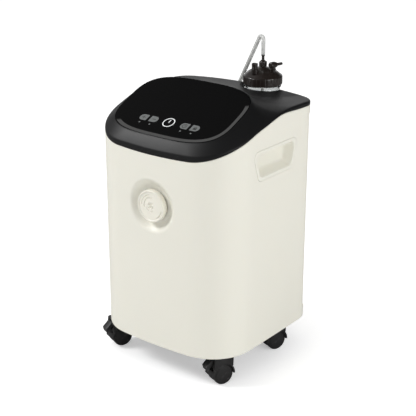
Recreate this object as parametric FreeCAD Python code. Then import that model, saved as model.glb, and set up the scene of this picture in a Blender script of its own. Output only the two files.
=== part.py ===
import FreeCAD, Part
import math
import os
from FreeCAD import Vector

# Oxygen concentrator on four casters, with a bubble humidifier in a nook at the rear.
# Millimetres. +Z is up, the front faces -Y and +X is on the right as seen from the front.
# The origin is on the floor, under the middle of the casing.

# ---- casing ---------------------------------------------------------------------------
WIDTH = 320.0                     # casing, side to side
DEPTH = 304.0                     # casing, front to rear
FLOOR_GAP = 60.0                  # floor to the casing's lower edge
WALL = 3.0                        # moulded wall
FRONT_CORNER_R = 88.0             # vertical edges at the front
REAR_CORNER_R = 44.0              # vertical edges at the rear
FRONT_BOW_R = 900.0               # the front face is very slightly bowed
GAP = 0.4                         # shadow gap between casing parts

HALF_W = WIDTH / 2
HALF_D = DEPTH / 2

# The joint between the white shell and the dark lid, and the crease at the top of the
# lid's upright band, are both heights that depend on y. Each pair is (y, z).
SEAM_LINE = [
    (-160, 434.8), (-109, 459.3), (-61, 478.7), (-15, 490.3), (30, 500.0), (85, 498.2), (160, 496.0),
]
CREASE_LINE = [
    (-160, 444.5), (-152, 449.0), (-130, 456.5), (-109, 464.0), (-85, 472.5), (-61, 481.5), (-38, 488.0),
    (-15, 494.0), (10, 500.0), (30, 504.0), (60, 506.5), (95, 506.5), (152, 505.0), (160, 504.8),
]
REAR_CROWN = 5.5                  # the lid's rear edge is this much higher in its middle
REAR_HOLLOW = 3.2                 # how quickly the lid levels out behind the panel

# ---- glass control panel --------------------------------------------------------------
GLASS_Y = -61.5                   # middle of the panel
GLASS_HALF_W = 128.5
GLASS_HALF_D = 76.3               # in plan
GLASS_POWER = 3.3                 # superellipse exponent of its outline
GLASS_SLOPE = 0.453               # rise per millimetre towards the rear
GLASS_Z0 = 532.0                  # height of the panel's plane at y = 0
GLASS_T = 3.0
GLASS_TRIM = 2.0                  # the lid is levelled off this far inside the panel's edge
GLASS_TILT = math.degrees(math.atan(GLASS_SLOPE))

# ---- rear cover and nook --------------------------------------------------------------
REAR_SEAM_Y = 121.0               # the rear cover wraps round both rear corners to here
COVER_SET_BACK = 1.2
COVER_LOW = 80.0
COVER_HIGH = 481.0
NOOK_X = 31.0                     # axis of the humidifier and of its nook
NOOK_Y = 150.0
NOOK_R = 44.0
NOOK_FLOOR = 348.0
SCREW_X = 126.0
SCREW_R = 1.6

# ---- flow knob ------------------------------------------------------------------------
KNOB_Z = 341.5
KNOB_R = 30.5
KNOB_FRONT = -155.0
KNOB_BACK = -142.5
BOWL_R = 52.0
BOWL_FLOOR_R = 35.0
BOWL_DEPTH = 12.0
SPINDLE_R = 3.0
VALVE_NOSE_Y = -141.0
RUNNING = 0.05                    # radial clearance of a turning shaft

# ---- hand grips -----------------------------------------------------------------------
GRIP_TOP = (-53.0, 73.0, 441.0)   # front y, rear y, z of the opening's upper edge
GRIP_BOTTOM = (-35.0, 62.0, 398.0)
GRIP_DEPTH = 22.0
GRIP_FLANGE = 8.0
GRIP_PROUD = 0.6

# ---- humidifier -----------------------------------------------------------------------
JAR_R = 34.5
JAR_NECK_R = 32.0
JAR_WALL = 2.0
CAP_R = 38.25
CAP_LOW = 514.0
CAP_HIGH = 530.6
DOME_TOP = 546.0
NUT_TOP = 557.5
STEM_TOP = 570.5                  # the inlet's stem ends in a stop ring, and the hose sits on it
BARB_TOP = 583.0
HOSE_R = 3.9
HOSE_BORE_R = 2.7
HOSE_PEAK = 621.0                 # where the hose's two legs would meet if they ran on straight
HOSE_BENDS = (5.8, 20.0)          # centre-line radii of its two bends
RELIEF_R = 5.0
OUTLET_R = 3.0                    # patient nozzle
OUTLET_LENGTH = 14.0
OUTLET_Z_NOZZLE = 552.5
OUTLET_TURN = 15.0                # degrees from straight rearwards, towards +X

# ---- casters --------------------------------------------------------------------------
CASTER_X = 126.0
CASTER_Y = 88.0
WHEEL_R = 20.0
WHEEL_W = 11.0
WEB_HALF = 3.0                    # half thickness of the hood's middle web
TRAIL = 14.0                      # wheel axle behind the swivel axis
CASTER_HEADING = 248.3            # degrees from +X; every caster rests trailing this way
HOOD_HALF_W = 15.0
HOOD_R = 24.0
HOOD_TOP = 59.5
PLATE_T = 2.5
PLATE_HALF = 18.0
PLATE_SCREW = 13.5                # screws from the plate's middle, along X and along Y
BASE_Z = 64.0                     # underside of the base tray
AXLE_R = 3.0
AXLE_SEAT = 8.5                   # how far the axle is pressed into each wheel
KINGPIN_R = 4.0

# ---- rear fittings --------------------------------------------------------------------
DOOR_X = (-112.0, -22.0)
DOOR_Z = (190.0, 330.0)
DOOR_HINGE_Y = 150.0
INLET_X = -62.0                   # mains inlet
INLET_Z = 118.0
SWITCH_X = -14.0
BREAKER_X = 20.0
OUTLET_X = -45.0                  # oxygen outlet elbow
OUTLET_Z = 452.0

# ---- inside ---------------------------------------------------------------------------
DECK_Z = 92.0                     # steel plate that carries the compressor
COMPRESSOR_X = 42.0
COMPRESSOR_Y = -10.0
COMPRESSOR_Z = 160.0
CRADLE_TOP = 118.0
BED_X = -108.0
BED_Y = (-78.0, -2.0)
BED_R = 34.0
BED_LOW = 78.0
BED_HIGH = 350.0
TANK_Y = 76.0
FAN_Z = 268.0
FAN_HALF = 60.0


# ======================================================================================
# Building blocks
# ======================================================================================

def box(x, y, z):
    """A box from three (low, high) pairs."""
    return Part.makeBox(x[1] - x[0], y[1] - y[0], z[1] - z[0], Vector(x[0], y[0], z[0]))


def rod(radius, start, end):
    """A round bar between two points."""
    start, end = Vector(*start), Vector(*end)
    return Part.makeCylinder(radius, (end - start).Length, start, end - start)


def tube(outer, inner, start, end):
    return rod(outer, start, end).cut(rod(inner, start, end))


def joined(shapes):
    """Fuse a list of touching shapes into one solid."""
    whole = shapes[0]
    if len(shapes) > 1:
        whole = whole.fuse(shapes[1:])
    return whole.removeSplitter()


def group(shapes):
    """Several separate solids that share one node."""
    return Part.makeCompound(shapes)


def lathe(profile, origin, axis):
    """Turn a closed (radius, height) outline about an axis through origin."""
    points = [Vector(r, 0, h) for r, h in profile]
    outline = Part.makePolygon(points + points[:1])
    solid = Part.Face(outline).revolve(Vector(0, 0, 0), Vector(0, 0, 1), 360)
    turn = FreeCAD.Rotation(Vector(0, 0, 1), Vector(*axis))
    return solid.transformGeometry(FreeCAD.Placement(Vector(*origin), turn).toMatrix())


def rounded_outline(points, radius):
    """A closed wire through the points, with every corner rounded."""
    points = [Vector(*p) for p in points]
    arcs = []
    for i, corner in enumerate(points):
        back = points[i - 1] - corner
        ahead = points[(i + 1) % len(points)] - corner
        back.normalize()
        ahead.normalize()
        half = math.acos(max(-1.0, min(1.0, back.dot(ahead)))) / 2
        cut = radius / math.tan(half)
        middle = back + ahead
        middle.normalize()
        crown = corner + middle * (radius / math.sin(half) - radius)
        arcs.append((corner + back * cut, crown, corner + ahead * cut))
    edges = []
    for i, (start, crown, end) in enumerate(arcs):
        edges.append(Part.Arc(start, crown, end).toShape())
        following = arcs[(i + 1) % len(arcs)][0]
        if (following - end).Length > 1e-6:
            edges.append(Part.makeLine(end, following))
    return Part.Wire(edges)


def slab(points, radius, along):
    """A prism with rounded corners, pushed along a vector."""
    return Part.Face(rounded_outline(points, radius)).extrude(Vector(*along))


def height_at(line, y):
    """Height of a smooth line through (y, z) pairs, with finite-difference tangents."""
    last = len(line) - 1
    i = 0
    while i < last - 1 and y > line[i + 1][0]:
        i += 1

    def slope(k):
        low, high = max(k - 1, 0), min(k + 1, last)
        return (line[high][1] - line[low][1]) / (line[high][0] - line[low][0])

    (y0, z0), (y1, z1) = line[i], line[i + 1]
    span = y1 - y0
    t = (y - y0) / span
    rise = z1 - z0
    a = slope(i) * span - rise
    b = rise - slope(i + 1) * span
    return z0 + rise * t + t * (1 - t) * (a * (1 - t) + b * t)


def below_line(line, shift=0.0):
    """A block that fills everything under a height line, shifted up or down."""
    ys = [-158 + 316 * i / 20 for i in range(21)]
    top = [Vector(-200, y, height_at(line, y) + shift) for y in ys]
    curve = Part.BSplineCurve()
    curve.interpolate(top)
    base = [top[-1], Vector(-200, 158, 0), Vector(-200, -158, 0), top[0]]
    outline = Part.Wire([curve.toShape()] + Part.makePolygon(base).Edges)
    return Part.Face(outline).extrude(Vector(400, 0, 0))


# ======================================================================================
# Casing outline in plan
# ======================================================================================

FRONT_CENTRE_Y = FRONT_BOW_R - HALF_D
FRONT_CORNER_X = HALF_W - FRONT_CORNER_R
REACH = FRONT_BOW_R - FRONT_CORNER_R
FRONT_CORNER_Y = FRONT_CENTRE_Y - math.sqrt(REACH ** 2 - FRONT_CORNER_X ** 2)
REAR_CORNER_X = HALF_W - REAR_CORNER_R
REAR_CORNER_Y = HALF_D - REAR_CORNER_R


def casing_outline(inset, z):
    """The casing's outline in plan, pulled in by inset; every part of it stays tangent."""
    w, rear = HALF_W - inset, HALF_D - inset
    front_r, rear_r = FRONT_CORNER_R - inset, REAR_CORNER_R - inset
    bow_r = FRONT_BOW_R - inset
    lean = math.asin(FRONT_CORNER_X / REACH)
    touch_x = bow_r * math.sin(lean)
    touch_y = FRONT_CENTRE_Y - bow_r * math.cos(lean)
    diagonal = (lean - math.pi / 2) / 2
    corner_x = FRONT_CORNER_X + front_r * math.cos(diagonal)
    corner_y = FRONT_CORNER_Y + front_r * math.sin(diagonal)
    rear_x = REAR_CORNER_X + rear_r * math.sqrt(0.5)
    rear_y = REAR_CORNER_Y + rear_r * math.sqrt(0.5)

    def arc(a, b, c):
        return Part.Arc(Vector(*a, z), Vector(*b, z), Vector(*c, z)).toShape()

    def line(a, b):
        return Part.makeLine(Vector(*a, z), Vector(*b, z))

    return Part.Wire([
        arc((-touch_x, touch_y), (0, FRONT_CENTRE_Y - bow_r), (touch_x, touch_y)),
        arc((touch_x, touch_y), (corner_x, corner_y), (w, FRONT_CORNER_Y)),
        line((w, FRONT_CORNER_Y), (w, REAR_CORNER_Y)),
        arc((w, REAR_CORNER_Y), (rear_x, rear_y), (REAR_CORNER_X, rear)),
        line((REAR_CORNER_X, rear), (-REAR_CORNER_X, rear)),
        arc((-REAR_CORNER_X, rear), (-rear_x, rear_y), (-w, REAR_CORNER_Y)),
        line((-w, REAR_CORNER_Y), (-w, FRONT_CORNER_Y)),
        arc((-w, FRONT_CORNER_Y), (-corner_x, corner_y), (-touch_x, touch_y)),
    ])


def casing_block(inset, low, high):
    return Part.Face(casing_outline(inset, low)).extrude(Vector(0, 0, high - low))


def casing_ring(outer_inset, inner_inset, low, high):
    return casing_block(outer_inset, low, high).cut(casing_block(inner_inset, low - 1, high + 1))


def inside_casing(x, y):
    """Whether a plan point lies inside the casing's outline."""
    x = abs(x)
    if x > HALF_W or y > HALF_D or math.hypot(x, y - FRONT_CENTRE_Y) > FRONT_BOW_R:
        return False
    in_front_corner = y < FRONT_CORNER_Y and x > FRONT_CORNER_X
    if in_front_corner and math.hypot(x - FRONT_CORNER_X, y - FRONT_CORNER_Y) > FRONT_CORNER_R:
        return False
    in_rear_corner = y > REAR_CORNER_Y and x > REAR_CORNER_X
    return not in_rear_corner or math.hypot(x - REAR_CORNER_X, y - REAR_CORNER_Y) <= REAR_CORNER_R


# ======================================================================================
# Lid surface
# ======================================================================================

def glass_reach(angle):
    """Distance from the panel's middle to its edge, in plan, at an angle in degrees."""
    c = abs(math.cos(math.radians(angle))) / GLASS_HALF_W
    s = abs(math.sin(math.radians(angle))) / GLASS_HALF_D
    return (c ** GLASS_POWER + s ** GLASS_POWER) ** (-1 / GLASS_POWER)


def casing_reach(angle):
    """Distance from the panel's middle to the casing's outline, at an angle in degrees."""
    c, s = math.cos(math.radians(angle)), math.sin(math.radians(angle))
    low, high = 50.0, 300.0
    for _ in range(40):
        middle = (low + high) / 2
        if inside_casing(middle * c, GLASS_Y + middle * s):
            low = middle
        else:
            high = middle
    return low


def crease_height(x, y):
    """Top of the lid's upright band at a point on the casing's outline."""
    rearward = max(0.0, min(1.0, (y - 100) / 50))
    across = max(0.0, 1 - (x / 125) ** 2)
    return height_at(CREASE_LINE, y) + REAR_CROWN * across * rearward


def shoulder_point(angle, t):
    """A point on the lid between the glass (t = 0) and the crease (t = 1)."""
    c, s = math.cos(math.radians(angle)), math.sin(math.radians(angle))
    near, far = glass_reach(angle), casing_reach(angle)
    reach = near + (far - near) * t
    glass_z = GLASS_Z0 + GLASS_SLOPE * (GLASS_Y + near * s)
    crease_z = crease_height(far * c, GLASS_Y + far * s)
    rearward = max(0.0, min(1.0, s / 0.7))
    rearward = rearward ** 2 * (3 - 2 * rearward)
    straight = t * (0.85 + 0.15 * t)
    hollow = 1 - max(0.0, 1 - t) ** REAR_HOLLOW
    fall = straight + (hollow - straight) * rearward
    return Vector(reach * c, GLASS_Y + reach * s, glass_z + (crease_z - glass_z) * fall)


def above_shoulder(drop):
    """Everything over the right half of the lid's top surface, lowered by drop."""
    steps_t = [-0.25 + 1.5 * i / 8 for i in range(9)]
    angles = [-97.5 + 7.5 * i for i in range(27)]
    surface = Part.BSplineSurface()
    down = Vector(0, 0, drop)
    surface.interpolate([[shoulder_point(a, t) - down for t in steps_t] for a in angles])
    return surface.toShape().extrude(Vector(0, 0, 200))


def glass_prism(half_w, half_d, low, high):
    """An upright prism on the panel's rounded outline, centred on the Z axis."""
    points = []
    for i in range(72):
        turn = math.radians(5 * i + 2.5)
        c, s = math.cos(turn), math.sin(turn)
        size = (abs(c / half_w) ** GLASS_POWER + abs(s / half_d) ** GLASS_POWER) ** (-1 / GLASS_POWER)
        points.append(Vector(size * c, size * s, low))
    curve = Part.BSplineCurve()
    curve.interpolate(points, PeriodicFlag=True)
    return Part.Face(Part.Wire(curve.toShape())).extrude(Vector(0, 0, high - low))


def glass_block(grow, low, high):
    """The panel's outline, grown, between two depths measured square to the glass."""
    half_d = GLASS_HALF_D * math.hypot(1, GLASS_SLOPE)
    return on_glass(glass_prism(GLASS_HALF_W + grow, half_d + grow, low, high))


def above_glass():
    """Everything straight above the panel, short of its edge."""
    prism = glass_prism(GLASS_HALF_W - GLASS_TRIM, GLASS_HALF_D - GLASS_TRIM, 400, 650)
    prism.translate(Vector(0, GLASS_Y, 0))
    return prism.common(on_glass(box((-300, 300), (-300, 300), (-0.3, 300))))


def on_glass(shape):
    """Carry a shape from the panel's own flat frame to its tilted place."""
    shape = shape.copy()
    shape.rotate(Vector(0, 0, 0), Vector(1, 0, 0), GLASS_TILT)
    shape.translate(Vector(0, GLASS_Y, GLASS_Z0 + GLASS_SLOPE * GLASS_Y))
    return shape


def lid_volume(inset, drop):
    """The solid under the lid's top surface, pulled in from the casing line."""
    right = casing_block(inset, 400, 600).common(box((0, 200), (-200, 200), (400, 600)))
    right = right.cut(above_shoulder(drop))
    return right.fuse(right.mirror(Vector(0, 0, 0), Vector(1, 0, 0))).cut(above_glass())


def nook(radius, low, high):
    return rod(radius, (NOOK_X, NOOK_Y, low), (NOOK_X, NOOK_Y, high))


# ======================================================================================
# Casing parts
# ======================================================================================

def bowl(offset):
    """The dished recess round the knob, as a solid, grown outward by offset."""
    rim, foot, floor = BOWL_R + offset, BOWL_FLOOR_R + offset, -BOWL_DEPTH - offset
    profile = [
        (0, 12), (rim + 6, 12), (rim, 0), (rim - 6, -2.5),
        (foot + 3, floor + 2.5), (foot, floor), (0, floor),
    ]
    return lathe(profile, (0, -HALF_D, KNOB_Z), (0, -1, 0))


def grip_points(grow, side, x):
    """The grip opening's four corners, grown outward, on the plane at x."""
    (y0, y1, top), (y2, y3, bottom) = GRIP_TOP, GRIP_BOTTOM
    high, low = top + grow, bottom - grow
    corners = [(y0 - grow, high), (y1 + grow, high), (y3 + grow, low), (y2 - grow, low)]
    return [(side * x, y, z) for y, z in corners]


def main_shell():
    """White front and sides, with a band above and below the rear cover's window."""
    shell = casing_ring(0, WALL, FLOOR_GAP, 540).common(below_line(SEAM_LINE))
    window = box((-200, 200), (REAR_SEAM_Y, 200), (COVER_LOW, COVER_HIGH))
    shell = shell.cut(window).cut(nook(NOOK_R + GAP, 300, 600))
    wall = bowl(WALL - 0.5).common(casing_block(1, FLOOR_GAP, 520))
    shell = shell.fuse(wall).cut(bowl(0))
    shell = shell.cut(rod(7, (0, -HALF_D, KNOB_Z), (0, -100, KNOB_Z)))
    for side in (-1, 1):
        opening = slab(grip_points(GRIP_FLANGE, side, 150), 14, (side * 20, 0, 0))
        shell = shell.cut(opening)
    return shell.removeSplitter()


def rear_cover():
    """Rear wall with the humidifier nook, filter opening, fittings and exhaust slots."""
    window = box((-200, 200), (REAR_SEAM_Y + GAP, 200), (COVER_LOW + GAP, COVER_HIGH - GAP))
    behind = box((-200, 200), (REAR_SEAM_Y - 7, 200), (COVER_LOW - 7, COVER_HIGH + 7))
    skin = casing_ring(COVER_SET_BACK, WALL + 1.2, COVER_LOW, COVER_HIGH).common(window)
    flange = casing_ring(WALL + 0.2, WALL + 2.2, COVER_LOW - 8, COVER_HIGH + 8).common(behind)
    inside = casing_block(WALL + 0.2, 300, 520)
    nook_wall = nook(NOOK_R + 2.5, NOOK_FLOOR - 2.5, 490).cut(nook(NOOK_R, NOOK_FLOOR, 520)).common(inside)
    cover = joined([skin, flange, nook_wall]).cut(nook(NOOK_R, NOOK_FLOOR, 520))
    low, high = HALF_D - 20, HALF_D + 5
    (x0, x1), (z0, z1) = DOOR_X, DOOR_Z
    cover = cover.cut(box((x0 - GAP, x1 + GAP), (low, high), (z0 - GAP, z1 + GAP)))
    for x, half in ((INLET_X, 24), (SWITCH_X, 10.5)):
        cover = cover.cut(box((x - half, x + half), (low, high), (INLET_Z - 14, INLET_Z + 14)))
    cover = cover.cut(rod(7.1, (BREAKER_X, low, INLET_Z), (BREAKER_X, high, INLET_Z)))
    cover = cover.cut(rod(6.1, (OUTLET_X, low, OUTLET_Z), (OUTLET_X, high, OUTLET_Z)))
    for row in range(9):
        z = 190 + 13 * row
        for x in (28, 72):
            corners = [(x - 18, low, z), (x + 18, low, z), (x + 18, low, z + 5), (x - 18, low, z + 5)]
            cover = cover.cut(slab(corners, 2.4, (0, 30, 0)))
    for x, y, z in screw_places():
        cover = cover.cut(rod(SCREW_R + 0.1, (x, y - 15, z), (x, y, z)))
        cover = cover.cut(rod(3.3, (x, y, z), (x, y + 6, z)))
    return cover


def base_tray():
    """Floor of the casing: a plate inside the shell with a pad over each caster."""
    floor = casing_block(WALL + 0.3, BASE_Z, BASE_Z + 3)
    rim = casing_ring(WALL + 0.3, WALL + 3, BASE_Z, BASE_Z + 7)
    parts = [floor, rim]
    for x, y in caster_places():
        parts.append(box((x - 25, x + 25), (y - 25, y + 25), (BASE_Z, BASE_Z + 8)))
    tray = joined(parts).common(casing_block(WALL + 0.3, BASE_Z, BASE_Z + 9))
    for x, y in caster_places():
        for dx, dy in plate_corners(PLATE_SCREW):
            tray = tray.cut(rod(2.1, (x + dx, y + dy, BASE_Z - 1), (x + dx, y + dy, BASE_Z + 7)))
    for i in range(9):
        tray = tray.cut(box((-50, 50), (12 * i - 60, 12 * i - 55), (BASE_Z - 1, BASE_Z + 4)))
    return tray


def top_cover():
    """Dark lid: upright band, shoulders, and a pocket that holds the glass panel."""
    outer = lid_volume(0, 0).cut(glass_block(0.3, -GLASS_T, 3)).cut(below_line(SEAM_LINE, GAP))
    room = lid_volume(WALL, WALL).cut(glass_block(WALL, -GLASS_T - WALL, 150))
    room = room.cut(nook(NOOK_R + 2.5, 400, 600))
    lip = casing_ring(WALL + 0.4, WALL + 2.4, 400, 520).common(below_line(SEAM_LINE, 4))
    lip = lip.cut(below_line(SEAM_LINE, -6))
    lid = outer.cut(room).fuse(lip)
    lid = lid.cut(nook(NOOK_R, 400, 600)).cut(box((-200, 200), (100, 200), (400, 490.5)))
    window = box((-80, 80), (-18, 18), (-GLASS_T - 8, 5))
    window.translate(Vector(0, -42, 0))
    lid = lid.cut(on_glass(window)).removeSplitter()
    # The pocket's rim leaves two hair-thin slivers loose above it; the lid is the large solid.
    return max(lid.Solids, key=lambda solid: solid.Volume)


def glass_panel():
    return glass_block(0, -GLASS_T, 0)


def display_board():
    """Touch keys and indicator lamps on a board under the glass."""
    low = -GLASS_T - WALL - 3
    board = box((-84, 84), (-66, -18), (low, low + 1.6))
    parts = [board, box((-30, 30), (-60, -52), (low - 7, low))]
    for x in (-57, -34, 1, 39, 62):
        parts.append(box((x - 8, x + 8), (-48, -36), (low + 1.6, low + 4.5)))
    return on_glass(joined(parts))


def grip_cup(side):
    """A moulded hand grip: flange, sloping back wall and a closed cup."""
    face = HALF_W - WALL
    flange = slab(grip_points(GRIP_FLANGE - GAP, side, face), 13.6, (side * (WALL + GRIP_PROUD), 0, 0))
    cup = slab(grip_points(2, side, HALF_W - GRIP_DEPTH - 2), 8, (side * (GRIP_DEPTH + 1.5), 0, 0))
    hollow = slab(grip_points(0, side, HALF_W - GRIP_DEPTH), 7, (side * (GRIP_DEPTH + 5), 0, 0))
    return joined([flange, cup]).cut(hollow)


def screw_places():
    """Points on the rear cover's skin where its screws go in."""
    places = []
    for x in (-SCREW_X, SCREW_X):
        out = REAR_CORNER_R - COVER_SET_BACK
        y = REAR_CORNER_Y + math.sqrt(out ** 2 - (SCREW_X - REAR_CORNER_X) ** 2)
        places += [(x, y, z) for z in (COVER_LOW + 14, 280, COVER_HIGH - 14)]
    return places


def case_screws():
    """Pan-head screws that hold the rear cover."""
    screws = []
    for x, y, z in screw_places():
        head = rod(3.2, (x, y, z), (x, y + 1.6, z))
        screws.append(joined([head, rod(SCREW_R, (x, y - 9, z), (x, y + 0.5, z))]))
    return group(screws)


# ======================================================================================
# Flow control
# ======================================================================================

def flow_knob():
    """Turning knob: a shallow cup with a rounded rim and raised arcs on its face."""
    depth = KNOB_BACK - KNOB_FRONT
    profile = [
        (SPINDLE_R, 0), (SPINDLE_R, depth - 6), (0, depth - 6), (0, depth - 1.2),
        (KNOB_R - 4.5, depth - 1.2), (KNOB_R - 2.5, depth), (KNOB_R - 0.8, depth - 0.6),
        (KNOB_R, depth - 2.4), (KNOB_R, 0),
    ]
    knob = lathe(profile, (0, KNOB_BACK, KNOB_Z), (0, -1, 0))
    face = KNOB_FRONT + 1.2
    arc = tube(21.5, 19.8, (0, face - 0.6, KNOB_Z), (0, face + 0.5, KNOB_Z))
    arc = arc.common(box((-30, 0), (-200, 0), (KNOB_Z - 4, KNOB_Z + 30)))
    pointer = box((-0.8, 0.8), (face - 0.6, face + 0.5), (KNOB_Z + 12, KNOB_Z + 19))
    return joined([knob, arc, pointer])


def valve_spindle():
    return rod(SPINDLE_R, (0, KNOB_FRONT + 6, KNOB_Z), (0, -96, KNOB_Z))


def flow_valve():
    """Needle valve behind the knob: a threaded nose, a block and two hose tails."""
    body = joined([
        rod(6.5, (0, VALVE_NOSE_Y, KNOB_Z), (0, -110, KNOB_Z)),
        box((-16, 16), (-118, -84), (KNOB_Z - 16, KNOB_Z + 16)),
        rod(4, (-10, -101, KNOB_Z - 30), (-10, -101, KNOB_Z - 10)),
        rod(4, (10, -101, KNOB_Z + 10), (10, -101, KNOB_Z + 30)),
    ])
    return body.cut(rod(SPINDLE_R + RUNNING, (0, VALVE_NOSE_Y - 1, KNOB_Z), (0, -95.5, KNOB_Z)))


# ======================================================================================
# Casters
# ======================================================================================

def caster_places():
    """Swivel axes: front left, front right, rear left, rear right."""
    return [(-CASTER_X, -CASTER_Y), (CASTER_X, -CASTER_Y), (-CASTER_X, CASTER_Y), (CASTER_X, CASTER_Y)]


def plate_corners(reach):
    return [(-reach, -reach), (reach, -reach), (reach, reach), (-reach, reach)]


def to_caster(shape, place):
    """Carry a caster part, modelled trailing along +X at the origin, to its corner."""
    shape = shape.copy()
    shape.rotate(Vector(0, 0, 0), Vector(0, 0, 1), CASTER_HEADING)
    shape.translate(Vector(place[0], place[1], 0))
    return shape


def caster_plates():
    """Four mounting plates, each with its kingpin riveted in."""
    plates = []
    for x, y in caster_places():
        low = BASE_Z - PLATE_T
        corners = [(x + dx, y + dy, low) for dx, dy in plate_corners(PLATE_HALF)]
        kingpin = rod(KINGPIN_R, (x, y, 44), (x, y, low + 1))
        plate = joined([slab(corners, 5, (0, 0, PLATE_T)), kingpin])
        for dx, dy in plate_corners(PLATE_SCREW):
            plate = plate.cut(rod(2.2, (x + dx, y + dy, low - 1), (x + dx, y + dy, BASE_Z + 1)))
        plates.append(plate)
    return group(plates)


def caster_screws():
    screws = []
    for x, y in caster_places():
        for dx, dy in plate_corners(PLATE_SCREW):
            a, b = x + dx, y + dy
            low = BASE_Z - PLATE_T
            head = rod(3.6, (a, b, low - 1.2), (a, b, low))
            screws.append(joined([head, rod(2.0, (a, b, low), (a, b, BASE_Z + 6.5))]))
    return group(screws)


def caster_housing(place, braked):
    """Hood over both wheels, with a middle web, swivel boss and a flat top."""
    half = HOOD_HALF_W
    hood = rod(HOOD_R, (TRAIL, -half, WHEEL_R), (TRAIL, half, WHEEL_R))
    hood = hood.common(box((-40, 60), (-half, half), (WHEEL_R - 1, 60)))
    top = [(-6, -half, 34), (TRAIL + 22, -half, 34), (TRAIL + 19, -half, HOOD_TOP), (-7, -half, HOOD_TOP)]
    head = slab(top, 2.5, (0, 2 * half, 0))
    web = rod(WHEEL_R - 4, (TRAIL, -WEB_HALF, WHEEL_R), (TRAIL, WEB_HALF, WHEEL_R))
    boss = rod(11, (0, 0, 43), (0, 0, HOOD_TOP))
    body = joined([hood, head, web, boss])
    for side in (-1, 1):
        low, high = sorted((side * WEB_HALF, side * (half + 1)))
        body = body.cut(rod(WHEEL_R + 1, (TRAIL, low, WHEEL_R), (TRAIL, high, WHEEL_R)))
    body = body.cut(rod(AXLE_R + RUNNING, (TRAIL, -30, WHEEL_R), (TRAIL, 30, WHEEL_R)))
    body = body.cut(rod(KINGPIN_R + RUNNING, (0, 0, 43.5), (0, 0, 70)))
    if braked:
        body = body.cut(box((TRAIL + 15, TRAIL + 40), (-9, 9), (30, 56)))
        body = body.cut(rod(1.55, (TRAIL + 18, -12, 51), (TRAIL + 18, 12, 51)))
    return to_caster(body, place)


def caster_wheels(place):
    """A pair of wheels, each with a slightly domed face, pressed on one axle."""
    pair = []
    for side in (-1, 1):
        profile = [
            (AXLE_R, 0), (WHEEL_R - 0.8, 0), (WHEEL_R, 0.8), (WHEEL_R, WHEEL_W - 2.2),
            (WHEEL_R - 1.6, WHEEL_W - 0.8), (WHEEL_R - 6, WHEEL_W), (0, WHEEL_W + 0.6),
            (0, AXLE_SEAT), (AXLE_R, AXLE_SEAT),
        ]
        pair.append(lathe(profile, (TRAIL, side * (WEB_HALF + 0.5), WHEEL_R), (0, side, 0)))
    return to_caster(group(pair), place)


def caster_axle(place):
    end = WEB_HALF + 0.5 + AXLE_SEAT
    return to_caster(rod(AXLE_R, (TRAIL, -end, WHEEL_R), (TRAIL, end, WHEEL_R)), place)


def brake_lever(place):
    """Foot brake: pressing the outer lip down pushes the inner toe on to the wheels."""
    hub = TRAIL + 18
    outline = [
        (hub - 2.5, -8, 54), (hub + 4, -8, 54.5), (hub + 17, -8, 42),
        (hub + 14, -8, 32), (hub + 8, -8, 40), (hub - 2, -8, 46.5),
    ]
    lever = slab(outline, 0.8, (0, 16, 0))
    pin = rod(1.5, (hub, -11.5, 51), (hub, 11.5, 51))
    return to_caster(joined([lever, pin]), place)


# ======================================================================================
# Rear fittings
# ======================================================================================

def filter_door():
    """Louvred intake door on two hinge pins at its left edge."""
    (x0, x1), (z0, z1) = DOOR_X, DOOR_Z
    low, high = HALF_D - 4.6, HALF_D - 0.8
    door = box((x0 + 3, x1), (low, high), (z0, z1))
    for row in range(9):
        z = z0 + 14 + 12.5 * row
        door = door.cut(box((x0 + 12, x1 - 10), (low - 1, high + 1), (z, z + 5)))
    knuckle = rod(3.2, (x0 + 3, HALF_D - 2.7, z0), (x0 + 3, HALF_D - 2.7, z1))
    middle = (z0 + z1) / 2
    latch = box((x1 - 8, x1 - 4), (high, high + 2.2), (middle - 12, middle + 12))
    return joined([door, knuckle, latch])


def intake_filter():
    (x0, x1), (z0, z1) = DOOR_X, DOOR_Z
    return box((x0 + 4, x1 - 4), (HALF_D - 20, HALF_D - 8), (z0 + 4, z1 - 4))


def power_inlet():
    """One moulded module: a three-pin mains inlet beside the well of the mains switch."""
    skin = HALF_D - COVER_SET_BACK
    low, high = INLET_Z - 13.5, INLET_Z + 13.5
    parts = [
        box((INLET_X - 27, SWITCH_X + 13), (skin, skin + 2), (INLET_Z - 16, INLET_Z + 16)),
        box((INLET_X - 23.5, INLET_X + 23.5), (skin - 22, skin + 2), (low, high)),
        box((SWITCH_X - 10, SWITCH_X + 10), (skin - 22, skin + 2), (low, high)),
    ]
    socket = box((INLET_X - 12.2, INLET_X + 12.2), (skin - 16, skin + 3), (INLET_Z - 8.2, INLET_Z + 8.2))
    well = box((SWITCH_X - 8, SWITCH_X + 8), (skin - 15, skin + 3), (INLET_Z - 11.5, INLET_Z + 11.5))
    module = joined(parts).cut(socket).cut(well).cut(switch_pin(9.5, 1.5 + RUNNING))
    pins = []
    for dx, dz in ((-7, -2), (0, 3), (7, -2)):
        x, z = INLET_X + dx, INLET_Z + dz
        pins.append(box((x - 1, x + 1), (skin - 17, skin - 2), (z - 2, z + 2)))
    return joined([module] + pins)


def switch_pin(reach, radius):
    """The rocker's pivot, along X."""
    y = HALF_D - COVER_SET_BACK - 3
    return rod(radius, (SWITCH_X - reach, y, INLET_Z), (SWITCH_X + reach, y, INLET_Z))


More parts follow.
